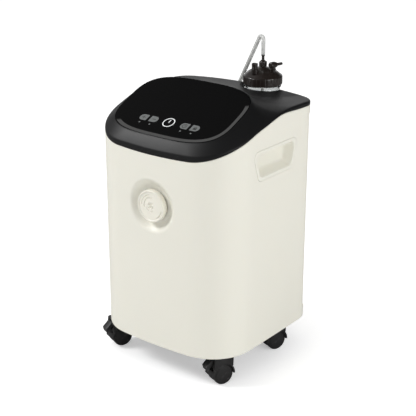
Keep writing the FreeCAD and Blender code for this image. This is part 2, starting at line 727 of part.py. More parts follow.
def power_rocker():
    """Rocker of the mains switch, at rest tipped to its off side."""
    skin = HALF_D - COVER_SET_BACK
    half = 7.7
    side = [(-4, -10.4), (3.4, -10.2), (1.4, 0), (3.4, 10.2), (-4, 10.4), (-8, 0), (-4, -10.4)]
    points = [Vector(SWITCH_X - half, skin + y, INLET_Z + z) for y, z in side]
    rocker = Part.Face(Part.makePolygon(points)).extrude(Vector(2 * half, 0, 0))
    rocker.rotate(Vector(SWITCH_X, skin - 3, INLET_Z), Vector(1, 0, 0), 7)
    return joined([rocker, switch_pin(9.3, 1.5)])


def breaker_body():
    skin = HALF_D - COVER_SET_BACK
    ring = rod(10, (BREAKER_X, skin, INLET_Z), (BREAKER_X, skin + 2.5, INLET_Z))
    barrel = rod(7, (BREAKER_X, skin - 24, INLET_Z), (BREAKER_X, skin + 2.5, INLET_Z))
    bore = rod(4 + RUNNING, (BREAKER_X, skin - 14, INLET_Z), (BREAKER_X, skin + 3, INLET_Z))
    return joined([ring, barrel]).cut(bore)


def breaker_button():
    skin = HALF_D - COVER_SET_BACK
    return rod(4, (BREAKER_X, skin - 10, INLET_Z), (BREAKER_X, skin + 6, INLET_Z))


def oxygen_outlet():
    """Elbow on the rear cover that feeds the humidifier's hose."""
    skin = HALF_D - COVER_SET_BACK
    knee = (OUTLET_X, HALF_D + 13, OUTLET_Z)
    top = (OUTLET_X, HALF_D + 13, OUTLET_Z + 24)
    return joined([
        rod(9, (OUTLET_X, skin, OUTLET_Z), (OUTLET_X, skin + 4, OUTLET_Z)),
        rod(6, (OUTLET_X, skin - 12, OUTLET_Z), (OUTLET_X, skin, OUTLET_Z)),
        rod(4.5, (OUTLET_X, skin, OUTLET_Z), knee),
        Part.makeSphere(4.5, Vector(*knee)),
        rod(4.5, knee, (OUTLET_X, HALF_D + 13, OUTLET_Z + 10)),
        rod(HOSE_BORE_R - 0.05, knee, top),
    ])


def bottle_tray():
    """Round shelf with a low rim that carries the humidifier, braced from the rear cover."""
    low = NOOK_FLOOR
    shelf = rod(38.2, (NOOK_X, NOOK_Y, low), (NOOK_X, NOOK_Y, low + 12))
    shelf = shelf.cut(rod(JAR_R + 0.6, (NOOK_X, NOOK_Y, low + 4), (NOOK_X, NOOK_Y, low + 13)))
    skin = HALF_D - COVER_SET_BACK
    side = [(0, skin, low + 2), (0, skin + 30, low + 2), (0, skin + 26, low - 6), (0, skin, low - 34)]
    brace = Part.Face(Part.makePolygon([Vector(*p) for p in side + side[:1]])).extrude(Vector(5, 0, 0))
    parts = [shelf]
    for x in (NOOK_X - 22, NOOK_X + 17):
        rib = brace.copy()
        rib.translate(Vector(x, 0, 0))
        parts.append(rib)
    parts.append(box((NOOK_X - 26, NOOK_X + 26), (skin, skin + 3), (low - 40, low + 1)))
    return joined(parts)


# ======================================================================================
# Humidifier
# ======================================================================================

def at_bottle(profile):
    return lathe(profile, (NOOK_X, NOOK_Y, 0), (0, 0, 1))


def humidifier_jar():
    """Clear jar with a shoulder, a plain neck and a slightly domed foot."""
    low, wall = NOOK_FLOOR + 4, JAR_WALL
    return at_bottle([
        (0, low + 2), (JAR_R - 8, low + 1), (JAR_R - 6, low), (JAR_R - 1.5, low), (JAR_R, low + 3),
        (JAR_R, 500), (JAR_R - 0.5, 503), (JAR_NECK_R, 507), (JAR_NECK_R, 508), (JAR_R + 1.5, 509),
        (JAR_R + 1.5, 512), (JAR_NECK_R, 513), (JAR_NECK_R, 526), (JAR_NECK_R - wall, 526),
        (JAR_NECK_R - wall, 506), (JAR_R - wall, 501), (JAR_R - wall, low + 5), (0, low + 4.5),
    ])


def humidifier_cap():
    """Screw cap: an upright grip ring under a low dome, with three openings."""
    seat, bore = 528.2, JAR_NECK_R + 0.8
    cap = at_bottle([
        (bore, CAP_LOW), (CAP_R - 0.8, CAP_LOW), (CAP_R, CAP_LOW + 0.8), (CAP_R, CAP_HIGH - 1.2),
        (CAP_R - 1.2, CAP_HIGH), (CAP_R - 2.5, CAP_HIGH + 0.6), (28, 538), (18, 543),
        (9, DOME_TOP), (0, DOME_TOP), (0, 541), (12, 541), (24, 536),
        (JAR_NECK_R - 3, 531), (JAR_NECK_R - 3, seat), (bore, seat),
    ])
    socket = rod(RELIEF_R + 1.6, valve_axis(536), valve_axis(547))
    cap = joined([cap, socket]).cut(rod(RELIEF_R + RUNNING, valve_axis(541), valve_axis(560)))
    cap = cap.cut(rod(4.6, (NOOK_X, NOOK_Y, 530), (NOOK_X, NOOK_Y, 560)))
    x, y = outlet_place()
    return cap.cut(rod(5, (x, y, 530), (x, y, 560)))


def valve_axis(z):
    return (NOOK_X - 1, NOOK_Y - 26, z)


def outlet_place():
    return NOOK_X + 23, NOOK_Y


def cap_gasket():
    inner, outer = JAR_NECK_R - JAR_WALL, JAR_NECK_R + 0.6
    return at_bottle([(inner, 526), (outer, 526), (outer, 528.2), (inner, 528.2)])


def inlet_barb():
    """Hose tail through the cap, with a collar that the union nut turns on."""
    return joined([
        rod(4.6, (NOOK_X, NOOK_Y, 541), (NOOK_X, NOOK_Y, DOME_TOP + 1)),
        rod(3.5, (NOOK_X, NOOK_Y, DOME_TOP + 1), (NOOK_X, NOOK_Y, NUT_TOP + 1)),
        rod(4.5, (NOOK_X, NOOK_Y, NUT_TOP + 0.1), (NOOK_X, NOOK_Y, NUT_TOP + 1.5)),
        rod(3.6, (NOOK_X, NOOK_Y, STEM_TOP - 3), (NOOK_X, NOOK_Y, STEM_TOP)),
        rod(HOSE_BORE_R - 0.05, (NOOK_X, NOOK_Y, NUT_TOP), (NOOK_X, NOOK_Y, BARB_TOP)),
    ])


def inlet_nut():
    """Union nut with two wings."""
    low = DOME_TOP + 1.1
    nut = rod(7.2, (NOOK_X, NOOK_Y, low), (NOOK_X, NOOK_Y, NUT_TOP))
    for turn in range(6):
        wing = box((5.5, 8.4), (-1.4, 1.4), (low, NUT_TOP - 1))
        wing.rotate(Vector(0, 0, 0), Vector(0, 0, 1), 60 * turn)
        wing.translate(Vector(NOOK_X, NOOK_Y, 0))
        nut = nut.fuse(wing)
    bore = rod(3.5 + RUNNING, (NOOK_X, NOOK_Y, low - 1), (NOOK_X, NOOK_Y, NUT_TOP + 1))
    return nut.removeSplitter().cut(bore)


def patient_outlet():
    """Elbow on the cap: a fat barrel across a short leg, with a nozzle for tubing."""
    x, y = outlet_place()
    turn = math.radians(90 - OUTLET_TURN)

    def along(length):
        return (x + math.cos(turn) * length, y + math.sin(turn) * length, OUTLET_Z_NOZZLE)

    return joined([
        rod(4.9, (x, y, 538), (x, y, OUTLET_Z_NOZZLE)),
        rod(6.3, along(-7), along(7)),
        rod(4.6, along(7), along(9)),
        rod(OUTLET_R, along(9), along(9 + OUTLET_LENGTH)),
    ])


def relief_valve():
    """Spring-loaded plunger that lifts when the outlet is blocked."""
    stem = rod(RELIEF_R, valve_axis(541.2), valve_axis(547.2))
    return joined([stem, rod(RELIEF_R + 0.9, valve_axis(547.2), valve_axis(557.5))])


def diffuser_tube():
    """Tube down to a porous bubbler near the jar's floor."""
    low = NOOK_FLOOR + 14
    return joined([
        rod(3.0, (NOOK_X, NOOK_Y, low), (NOOK_X, NOOK_Y, 541)),
        rod(7.0, (NOOK_X, NOOK_Y, low - 2), (NOOK_X, NOOK_Y, low + 16)),
    ])


def rounded_wire(points, radii):
    """Straight runs between points, with an arc of the given radius at each inner point."""
    edges = []
    start = Vector(*points[0])
    for before, corner, after, radius in zip(points, points[1:], points[2:], radii):
        corner = Vector(*corner)
        back = (Vector(*before) - corner).normalize()
        ahead = (Vector(*after) - corner).normalize()
        half = back.getAngle(ahead) / 2
        reach = radius / math.tan(half)
        middle = corner + (back + ahead).normalize() * (radius / math.sin(half) - radius)
        edges.append(Part.makeLine(start, corner + back * reach))
        start = corner + ahead * reach
        edges.append(Part.Arc(corner + back * reach, middle, start).toShape())
    edges.append(Part.makeLine(start, Vector(*points[-1])))
    return Part.Wire(edges)


def swept(wire, radius):
    """A round rod along a wire."""
    first = wire.Edges[0]
    ring = Part.makeCircle(radius, first.valueAt(first.FirstParameter), first.tangentAt(first.FirstParameter))
    return wire.makePipeShell([Part.Wire(ring)], True, True)


def oxygen_hose():
    """Up from the cap, over a tight bend and down to the elbow on the rear cover."""
    end = HALF_D + 13
    points = [
        (NOOK_X, NOOK_Y, STEM_TOP), (NOOK_X, NOOK_Y, HOSE_PEAK),
        (OUTLET_X, end, OUTLET_Z + 30), (OUTLET_X, end, OUTLET_Z + 11),
    ]
    line = rounded_wire(points, HOSE_BENDS)
    return swept(line, HOSE_R).cut(swept(line, HOSE_BORE_R))


# ======================================================================================
# Inside the casing
# ======================================================================================

def isolation_mounts():
    """Rubber feet between the base tray and the compressor's deck."""
    places = [(COMPRESSOR_X + dx, COMPRESSOR_Y + dy) for dx in (-48, 48) for dy in (-62, 62)]
    return group([tube(9, 3, (x, y, BASE_Z + 3), (x, y, DECK_Z)) for x, y in places])


def compressor_deck():
    x, y = COMPRESSOR_X, COMPRESSOR_Y
    deck = box((x - 88, x + 88), (y - 76, y + 76), (DECK_Z, DECK_Z + 2))
    legs = [box((x + dx - 3, x + dx + 3), (y - 40, y + 40), (DECK_Z, CRADLE_TOP)) for dx in (-28, 28)]
    return joined([deck] + legs)


def compressor_body():
    """Motor barrel between two crankcases, open along its axis for the shaft."""
    x, y, z = COMPRESSOR_X, COMPRESSOR_Y, COMPRESSOR_Z
    parts = [rod(46, (x - 36, y, z), (x + 36, y, z))]
    for side in (-1, 1):
        low, high = sorted((x + side * 35, x + side * 72))
        parts.append(box((low, high), (y - 30, y + 30), (z - 30, z + 34)))
    body = joined(parts).cut(rod(8 + RUNNING, (x - 80, y, z), (x + 80, y, z)))
    return body.cut(box((x - 60, x + 60), (y - 42, y + 42), (100, CRADLE_TOP)))


def compressor_heads():
    """Two finned cylinder heads."""
    heads = []
    for side in (-1, 1):
        x = COMPRESSOR_X + side * 58
        z = COMPRESSOR_Z + 34
        y = COMPRESSOR_Y
        fins = [rod(17, (x, y, z), (x, y, z + 40))]
        for i in range(6):
            low = z + 4 + 6 * i
            fins.append(box((x - 21, x + 21), (y - 25, y + 25), (low, low + 3)))
        heads.append(joined(fins))
    return group(heads)


def compressor_shaft():
    """Rotor shaft with a cooling fan at each end."""
    x, y, z = COMPRESSOR_X, COMPRESSOR_Y, COMPRESSOR_Z
    parts = [rod(8, (x - 84, y, z), (x + 84, y, z))]
    for side in (-1, 1):
        low, high = sorted((side * 74, side * 84))
        parts.append(rod(12, (x + low, y, z), (x + high, y, z)))
        for i in range(7):
            blade = box((low, high), (-1.2, 1.2), (10, 33))
            blade.rotate(Vector(side * 79, 0, 0), Vector(0, 0, 1), 30)
            blade.rotate(Vector(0, 0, 0), Vector(1, 0, 0), i * 360 / 7)
            blade.translate(Vector(x, y, z))
            parts.append(blade)
    return joined(parts)


def sieve_beds():
    """Two zeolite columns with end caps."""
    beds = []
    for y in BED_Y:
        beds.append(joined([
            rod(BED_R - 1.5, (BED_X, y, BED_LOW), (BED_X, y, BED_HIGH)),
            rod(BED_R, (BED_X, y, BED_LOW), (BED_X, y, BED_LOW + 16)),
            rod(BED_R, (BED_X, y, BED_HIGH - 16), (BED_X, y, BED_HIGH)),
        ]))
    return group(beds)


def oxygen_tank():
    """Product tank with the pressure regulator on its neck."""
    neck = BED_HIGH - 26
    return joined([
        rod(BED_R - 2, (BED_X, TANK_Y, BED_LOW), (BED_X, TANK_Y, BED_HIGH - 40)),
        rod(BED_R, (BED_X, TANK_Y, BED_LOW), (BED_X, TANK_Y, BED_LOW + 12)),
        rod(6, (BED_X, TANK_Y, BED_HIGH - 40), (BED_X, TANK_Y, neck)),
        rod(14, (BED_X, TANK_Y, neck), (BED_X, TANK_Y, neck + 22)),
        rod(6, (BED_X, TANK_Y, neck + 22), (BED_X, TANK_Y, neck + 34)),
    ])


def valve_manifold():
    """Block on top of the columns with four solenoid valves."""
    middle = sum(BED_Y) / 2
    parts = [box((BED_X - 26, BED_X + 26), (middle - 60, middle + 60), (BED_HIGH, BED_HIGH + 20))]
    for i in range(4):
        y = middle - 42 + 28 * i
        parts.append(rod(9, (BED_X + 10, y, BED_HIGH + 20), (BED_X + 10, y, BED_HIGH + 46)))
    return joined(parts)


def bacteria_filter():
    return joined([
        rod(24, (-46, 84, 392), (-46, 84, 404)),
        rod(4, (-46, 84, 378), (-46, 84, 418)),
    ])


def heat_exchanger():
    """Coil that cools the compressed air in the fan's draught."""
    coil = []
    for turn in range(3):
        ring = Part.makeTorus(46, 4, Vector(COMPRESSOR_X, COMPRESSOR_Y, 306 + 8.4 * turn))
        coil.append(ring)
    x, y = COMPRESSOR_X, COMPRESSOR_Y
    coil.append(box((x - 3, x + 3), (y - 49, y - 44), (304, 324)))
    return joined(coil)


def cooling_fan_frame():
    x, y = COMPRESSOR_X, COMPRESSOR_Y
    frame = box((x - FAN_HALF, x + FAN_HALF), (y - FAN_HALF, y + FAN_HALF), (FAN_Z, FAN_Z + 30))
    frame = frame.cut(rod(56, (x, y, FAN_Z - 1), (x, y, FAN_Z + 31)))
    shelf = box((-66, 148), (-78, 84), (FAN_Z - 3, FAN_Z))
    shelf = shelf.cut(rod(56, (x, y, FAN_Z - 5), (x, y, FAN_Z + 1)))
    spider = [
        box((x - 58, x + 58), (y - 3, y + 3), (FAN_Z, FAN_Z + 3)),
        rod(18, (x, y, FAN_Z), (x, y, FAN_Z + 5)),
        rod(3, (x, y, FAN_Z + 5), (x, y, FAN_Z + 16)),
    ]
    return joined([frame, shelf] + spider)


def cooling_fan_rotor():
    x, y = COMPRESSOR_X, COMPRESSOR_Y
    hub = rod(19, (x, y, FAN_Z + 6), (x, y, FAN_Z + 28))
    parts = [hub]
    for i in range(7):
        blade = box((17, 53), (-1, 1), (FAN_Z + 9, FAN_Z + 26))
        blade.rotate(Vector(35, 0, FAN_Z + 17.5), Vector(1, 0, 0), 38)
        blade.rotate(Vector(0, 0, 0), Vector(0, 0, 1), i * 360 / 7)
        blade.translate(Vector(x, y, 0))
        parts.append(blade)
    return joined(parts).cut(rod(3 + RUNNING, (x, y, FAN_Z), (x, y, FAN_Z + 16.2)))


def exhaust_muffler():
    return joined([rod(17, (112, 112, 90), (112, 112, 170)), rod(6, (112, 112, 170), (112, 112, 182))])


def main_board():
    """Control electronics on the right-hand wall."""
    board = box((136, 137.6), (-70, 60), (304, 384))
    transformer = box((118, 136), (-58, -30), (310, 350))
    capacitor = rod(11, (114, 20, 330), (136, 20, 330))
    heat_sink = box((124, 136), (36, 54), (312, 372))
    relay = box((128, 136), (-20, 4), (340, 372))
    return joined([board, transformer, capacitor, heat_sink, relay])


def internal_hoses():
    """Product line from the columns to the flow valve, and on to the outlet elbow."""
    low = [(-46, 84, 377.5), (-46, 84, 330), (-36, -101, 316), (-10, -101, 286), (-10, -101, 311)]
    high = [(10, -101, 372), (10, -101, 400), (-46, 84, 440), (-46, 84, 418.5)]
    return group([
        swept(rounded_wire(low, (14, 8, 8)), 3.5),
        swept(rounded_wire(high, (12, 12)), 3.5),
    ])


# ======================================================================================
# Every node and its shape
# ======================================================================================

def all_nodes():
    nodes = {
        "main_shell": main_shell(),
        "rear_cover": rear_cover(),
        "base_tray": base_tray(),
        "top_cover": top_cover(),
        "glass_panel": glass_panel(),
        "display_board": display_board(),
        "grip_cup_left": grip_cup(-1),
        "grip_cup_right": grip_cup(1),
        "case_screws": case_screws(),
        "flow_knob": flow_knob(),
        "valve_spindle": valve_spindle(),
        "flow_valve": flow_valve(),
        "filter_door": filter_door(),
        "intake_filter": intake_filter(),
        "power_inlet": power_inlet(),
        "power_rocker": power_rocker(),
        "breaker_body": breaker_body(),
        "breaker_button": breaker_button(),
        "oxygen_outlet": oxygen_outlet(),
        "bottle_tray": bottle_tray(),
        "humidifier_jar": humidifier_jar(),
        "humidifier_cap": humidifier_cap(),
        "cap_gasket": cap_gasket(),
        "inlet_barb": inlet_barb(),
        "inlet_nut": inlet_nut(),
        "patient_outlet": patient_outlet(),
        "relief_valve": relief_valve(),
        "diffuser_tube": diffuser_tube(),
        "oxygen_hose": oxygen_hose(),
        "caster_plates": caster_plates(),
        "caster_screws": caster_screws(),
        "isolation_mounts": isolation_mounts(),
        "compressor_deck": compressor_deck(),
        "compressor_body": compressor_body(),
        "compressor_heads": compressor_heads(),
        "compressor_shaft": compressor_shaft(),
        "sieve_beds": sieve_beds(),
        "oxygen_tank": oxygen_tank(),
        "valve_manifold": valve_manifold(),
        "bacteria_filter": bacteria_filter(),
        "heat_exchanger": heat_exchanger(),
        "cooling_fan_frame": cooling_fan_frame(),
        "cooling_fan_rotor": cooling_fan_rotor(),
        "exhaust_muffler": exhaust_muffler(),
        "main_board": main_board(),
        "internal_hoses": internal_hoses(),
    }
    for corner, place in zip(("fl", "fr", "rl", "rr"), caster_places()):
        braked = corner in ("fl", "fr")
        nodes["caster_housing_" + corner] = caster_housing(place, braked)
        nodes["caster_wheels_" + corner] = caster_wheels(place)
        nodes["caster_axle_" + corner] = caster_axle(place)
        if braked:
            nodes["brake_lever_" + corner] = brake_lever(place)
    return nodes


os.makedirs("parts", exist_ok=True)
for name, shape in all_nodes().items():
    shape.exportStep("parts/" + name + ".step")
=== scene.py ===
import bmesh
import bpy
import math
from mathutils import Matrix, Vector

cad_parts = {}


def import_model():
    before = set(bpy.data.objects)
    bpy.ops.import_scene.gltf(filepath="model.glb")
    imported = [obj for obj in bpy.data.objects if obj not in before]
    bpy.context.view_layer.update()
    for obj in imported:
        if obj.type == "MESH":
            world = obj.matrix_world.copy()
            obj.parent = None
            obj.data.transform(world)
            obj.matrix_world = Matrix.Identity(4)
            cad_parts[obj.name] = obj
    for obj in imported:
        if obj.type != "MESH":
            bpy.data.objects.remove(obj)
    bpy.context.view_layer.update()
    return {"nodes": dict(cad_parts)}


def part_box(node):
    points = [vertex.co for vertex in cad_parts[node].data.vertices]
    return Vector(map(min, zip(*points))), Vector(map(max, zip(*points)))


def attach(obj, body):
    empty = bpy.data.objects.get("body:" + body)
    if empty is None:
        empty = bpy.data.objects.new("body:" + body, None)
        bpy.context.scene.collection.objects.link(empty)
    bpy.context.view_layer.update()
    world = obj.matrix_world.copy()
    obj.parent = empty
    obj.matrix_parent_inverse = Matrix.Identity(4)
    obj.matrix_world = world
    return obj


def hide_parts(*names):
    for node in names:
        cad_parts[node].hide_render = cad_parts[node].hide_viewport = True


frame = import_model()
MM = 0.001

# ---- Driving dimensions, in millimetres, in the frame of the CAD model ----

shell_low, shell_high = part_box("main_shell")
HALF_W = shell_high.x / MM
HALF_D = shell_high.y / MM
FLOOR_GAP = shell_low.z / MM
WALL = 3.0
FRONT_CORNER_R = 88.0
REAR_CORNER_R = 44.0
FRONT_BOW_R = 900.0             # the front face bows out a little
GAP = 0.4                       # between neighbouring mouldings
# (y, z) along the sides: where shell and lid meet, and where the lid turns over.
SEAM_LINE = [(-160, 434.8), (-109, 459.3), (-61, 478.7), (-15, 490.3), (30, 500.0), (85, 498.2),
             (160, 496.0)]
CREASE_LINE = [(-160, 444.5), (-152, 449.0), (-130, 456.5), (-109, 464.0), (-85, 472.5), (-61, 481.5),
               (-38, 488.0), (-15, 494.0), (10, 500.0), (30, 504.0), (60, 506.5), (95, 506.5),
               (152, 505.0), (160, 504.8)]
CROWN, CROWN_HALF_W = 5.5, 125.0    # the lid's rise behind the panel
CROWN_Y, CROWN_RUN = 100.0, 50.0    # where it starts, and the length over which it grows
REAR_HOLLOW = 3.2                   # how quickly the lid levels out behind the panel

GLASS_Y = -61.5
GLASS_HALF_W = 128.5
GLASS_HALF_D = 76.3
GLASS_POWER = 3.3               # 2 would be an ellipse, more is squarer
GLASS_SLOPE = 0.453
GLASS_Z0 = 532.0
GLASS_T = 3.0
GLASS_TILT = math.atan(GLASS_SLOPE)
ICON_Y = -100.0
POWER_U = 1.0
KEY_PAIRS = (-45.5, 49.5)
KEY_OUT, KEY_W, KEY_H = 12.0, 18.0, 15.5

COVER_LOW, COVER_HIGH = 80.0, 481.0
REAR_SEAM_Y = 121.0
NOOK_X, NOOK_Y, NOOK_R = 31.0, 150.0, 44.0

knob_low, knob_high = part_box("flow_knob")
KNOB_Z = (knob_low.z + knob_high.z) / 2 / MM
KNOB_R = (knob_high.x - knob_low.x) / 2 / MM
KNOB_FRONT = knob_low.y / MM
KNOB_BACK = knob_high.y / MM
SPINDLE_R = 3.0
BOWL_R, BOWL_FLOOR_R, BOWL_DEPTH = 52.0, 35.0, 12.0

# The grip opening's upper and lower edge: front y, rear y and z.
GRIP_TOP = (-53.0, 73.0, 441.0)
GRIP_BOTTOM = (-35.0, 62.0, 398.0)
GRIP_DEPTH, GRIP_FLANGE, GRIP_PROUD = 22.0, 8.0, 0.6


# ---- Mesh helpers ----

SHARP_ANGLE = 35                # degrees; a sharper turn stays a visible edge
WELD_DISTANCE = 1e-6            # metres


def mesh_object(name, verts, faces, smooth=SHARP_ANGLE):
    """A new piece from points in millimetres, smooth except where it turns sharply."""
    mesh = bpy.data.meshes.new(name)
    mesh.from_pydata([(x * MM, y * MM, z * MM) for x, y, z in verts], [], faces)
    mesh.validate()
    piece = bpy.data.objects.new(name, mesh)
    bpy.context.scene.collection.objects.link(piece)
    tidy_normals(piece, smooth)
    return piece


def tidy_normals(piece, smooth=SHARP_ANGLE):
    """Point all faces outward, shade smoothly and keep sharp edges sharp."""
    bm = bmesh.new()
    bm.from_mesh(piece.data)
    bmesh.ops.recalc_face_normals(bm, faces=bm.faces)
    for face in bm.faces:
        face.smooth = True
    bm.to_mesh(piece.data)
    bm.free()
    piece.data.set_sharp_from_angle(angle=math.radians(smooth))


def ring_faces(rows, columns, wrap_rows=False, first=0):
    """Quads between rings of points, numbered from first; each ring closes on itself."""
    faces = []
    for r in range(rows if wrap_rows else rows - 1):
        here, there = first + r * columns, first + (r + 1) % rows * columns
        for c in range(columns):
            d = (c + 1) % columns
            faces.append((here + c, here + d, there + d, there + c))
    return faces


def loft(name, rings, wrap=False, smooth=SHARP_ANGLE):
    """Skin rings of equal length, joined end to start if wrap is set and capped if not."""
    columns = len(rings[0])
    faces = ring_faces(len(rings), columns, wrap)
    if not wrap:
        last = (len(rings) - 1) * columns
        faces += [tuple(range(columns)), tuple(range(last, last + columns))]
    return mesh_object(name, [p for ring in rings for p in ring], faces, smooth)


def softened(profile, radius, steps=4):
    """Round a closed outline's corners with short arcs, each limited by its own neighbours."""
    points = [Vector(p) for p in profile]
    out = []
    for i, corner in enumerate(points):
        back = points[i - 1] - corner
        ahead = points[(i + 1) % len(points)] - corner
        reach = min(radius, back.length * 0.45, ahead.length * 0.45)
        a = corner + back.normalized() * reach
        b = corner + ahead.normalized() * reach
        for k in range(steps + 1):
            t = k / steps
            out.append(tuple(a * (1 - t) ** 2 + corner * 2 * t * (1 - t) + b * t ** 2))
    return out


def full_turn(count):
    """Angles, evenly spread over a full turn."""
    return [2 * math.pi * k / count for k in range(count)]


def turned(name, profile, origin, radius=0.4, segments=96, axis=(0, 0, 1)):
    """A lathed piece from a (radius, height) profile, with softened edges."""
    points = softened(profile, radius)
    turn = Vector((0, 0, 1)).rotation_difference(Vector(axis))
    origin = Vector(origin)
    rings = [[tuple(origin + turn @ Vector((r * math.cos(a), r * math.sin(a), h))) for r, h in points]
             for a in full_turn(segments)]
    return merge_close(loft(name, rings, wrap=True))


def merge_close(piece):
    """Weld points that fall together, such as those on a lathe's axis."""
    bm = bmesh.new()
    bm.from_mesh(piece.data)
    bmesh.ops.remove_doubles(bm, verts=bm.verts, dist=WELD_DISTANCE)
    bmesh.ops.dissolve_degenerate(bm, dist=WELD_DISTANCE, edges=bm.edges)
    bm.to_mesh(piece.data)
    bm.free()
    tidy_normals(piece)
    return piece


def carve(piece, cutter, operation="DIFFERENCE", smooth=SHARP_ANGLE):
    """Cut, keep or add another closed mesh, which is then removed."""
    tool = piece.modifiers.new("cut", "BOOLEAN")
    tool.operation = operation
    tool.solver = "EXACT"
    tool.object = cutter
    bpy.context.view_layer.update()
    graph = bpy.context.evaluated_depsgraph_get()
    mesh = bpy.data.meshes.new_from_object(piece.evaluated_get(graph))
    piece.modifiers.clear()
    piece.data = mesh
    tidy_normals(piece, smooth)
    bpy.data.objects.remove(cutter)
    return piece


def apply_material(piece, material):
    piece.data.materials.clear()
    piece.data.materials.append(material)


def finish_cad(node, material, width, segments=2):
    """Keep a CAD node's shape, round its sharp edges a little and give it a material."""
    piece = frame["nodes"][node]
    for polygon in piece.data.polygons:
        polygon.use_smooth = True
    apply_material(piece, material)
    piece.modifiers.new("weld", "WELD").merge_threshold = WELD_DISTANCE
    bevel = piece.modifiers.new("edges", "BEVEL")
    bevel.width = width * MM
    bevel.segments = segments
    bevel.limit_method = "ANGLE"
    bevel.angle_limit = math.radians(SHARP_ANGLE)
    bevel.use_clamp_overlap = True
    bevel.harden_normals = True


def finish(piece, body, material, slot, *nodes):
    """Body, material and the CAD nodes that a piece stands for, which are hidden; slot is not used."""
    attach(piece, body)
    apply_material(piece, material)
    if nodes:
        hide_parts(*nodes)


# ---- Casing surfaces ----

FRONT_CENTRE_Y = FRONT_BOW_R - HALF_D
FRONT_CORNER_X = HALF_W - FRONT_CORNER_R
REACH = FRONT_BOW_R - FRONT_CORNER_R
FRONT_CORNER_Y = FRONT_CENTRE_Y - math.sqrt(REACH ** 2 - FRONT_CORNER_X ** 2)
REAR_CORNER_X = HALF_W - REAR_CORNER_R
REAR_CORNER_Y = HALF_D - REAR_CORNER_R
LEAN = math.asin(FRONT_CORNER_X / REACH)


def clamped(t):
    return max(0.0, min(1.0, t))


def height_at(line, y):
    """Height of a smooth line through (y, z) pairs, with finite-difference tangents."""
    last = len(line) - 1
    i = 0
    while i < last - 1 and y > line[i + 1][0]:
        i += 1

    def slope(k):
        low, high = max(k - 1, 0), min(k + 1, last)
        return (line[high][1] - line[low][1]) / (line[high][0] - line[low][0])

    (y0, z0), (y1, z1) = line[i], line[i + 1]
    span = y1 - y0
    t = (y - y0) / span
    rise = z1 - z0
    a = slope(i) * span - rise
    b = rise - slope(i + 1) * span
    return z0 + rise * t + t * (1 - t) * (a * (1 - t) + b * t)


def seam_height(y):
    """Where the white shell ends and the lid begins."""
    return height_at(SEAM_LINE, y)


def crease_height(x, y):
    """The lid's upper edge, a little crowned behind the panel."""
    rearward = clamped((y - CROWN_Y) / CROWN_RUN)
    across = max(0.0, 1 - (x / CROWN_HALF_W) ** 2)
    return height_at(CREASE_LINE, y) + CROWN * across * rearward


def half_outline(fine, coarse):
    """Points and outward normals from the front's middle to the rear's middle, at x > 0."""
    spots = []

    def arc(cx, cy, radius, start, end, step):
        count = max(1, round(abs(end - start) * radius / step))
        for k in range(count):
            a = start + (end - start) * k / count
            spots.append((cx + radius * math.cos(a), cy + radius * math.sin(a), math.cos(a), math.sin(a)))

    def line(x0, y0, x1, y1, nx, ny, step):
        count = max(1, round(math.hypot(x1 - x0, y1 - y0) / step))
        for k in range(count):
            t = k / count
            spots.append((x0 + (x1 - x0) * t, y0 + (y1 - y0) * t, nx, ny))

    down = -math.pi / 2
    arc(0, FRONT_CENTRE_Y, FRONT_BOW_R, down, down + LEAN, fine)
    arc(FRONT_CORNER_X, FRONT_CORNER_Y, FRONT_CORNER_R, down + LEAN, 0, coarse / 2)
    line(HALF_W, FRONT_CORNER_Y, HALF_W, REAR_CORNER_Y, 1, 0, coarse)
    arc(REAR_CORNER_X, REAR_CORNER_Y, REAR_CORNER_R, 0, math.pi / 2, coarse / 2)
    line(REAR_CORNER_X, HALF_D, 0, HALF_D, 0, 1, coarse)
    return spots + [(0, HALF_D, 0, 1)]


def casing_columns(fine=1.5, coarse=6.0):
    """The whole outline, counter-clockwise from the front's middle."""
    right = half_outline(fine, coarse)
    left = [(-x, y, -nx, ny) for x, y, nx, ny in reversed(right[1:-1])]
    return right + left


def bowl_depth(x, z):
    """How far the recess round the knob sinks the front face."""
    r = math.hypot(x, z - KNOB_Z)
    outer, inner = BOWL_R + 1.5, BOWL_FLOOR_R - 0.5
    t = clamped((outer - r) / (outer - inner))
    return BOWL_DEPTH * t * t * (3 - 2 * t)


def rounded_points(points, radius, steps=8):
    """Points round a polygon with arcs at its corners, in 2-D."""
    out = []
    spots = [Vector(p) for p in points]
    for i, corner in enumerate(spots):
        back = (spots[i - 1] - corner).normalized()
        ahead = (spots[(i + 1) % len(spots)] - corner).normalized()
        half = math.acos(max(-1, min(1, back.dot(ahead)))) / 2
        cut = radius / math.tan(half)
        centre = corner + (back + ahead).normalized() * (radius / math.sin(half))
        start, end = corner + back * cut, corner + ahead * cut
        a0 = math.atan2(start.y - centre.y, start.x - centre.x)
        a1 = math.atan2(end.y - centre.y, end.x - centre.x)
        sweep = (a1 - a0 + math.pi) % (2 * math.pi) - math.pi
        for k in range(steps + 1):
            a = a0 + sweep * k / steps
            out.append((centre.x + radius * math.cos(a), centre.y + radius * math.sin(a)))
    return out


def grip_outline(grow, radius):
    """(y, z) points round the hand grip's opening, grown outward."""
    (y0, y1, top), (y2, y3, low) = GRIP_TOP, GRIP_BOTTOM
    corners = [(y2 - grow, low - grow), (y3 + grow, low - grow), (y1 + grow, top + grow),
               (y0 - grow, top + grow)]
    return rounded_points(corners, radius)


def circle(x, y, radius, count):
    """(x, y) points round a circle."""
    turns = [math.radians(360 / count * k) for k in range(count)]
    return [(x + radius * math.cos(a), y + radius * math.sin(a)) for a in turns]


def prism(name, outline, low, high, place=lambda u, v, w: (u, v, w)):
    """A closed straight tool from a 2-D outline; place(u, v, w) gives each point."""
    return loft(name, [[place(u, v, w) for u, v in outline] for w in (low, high)])


# ---- Materials ----

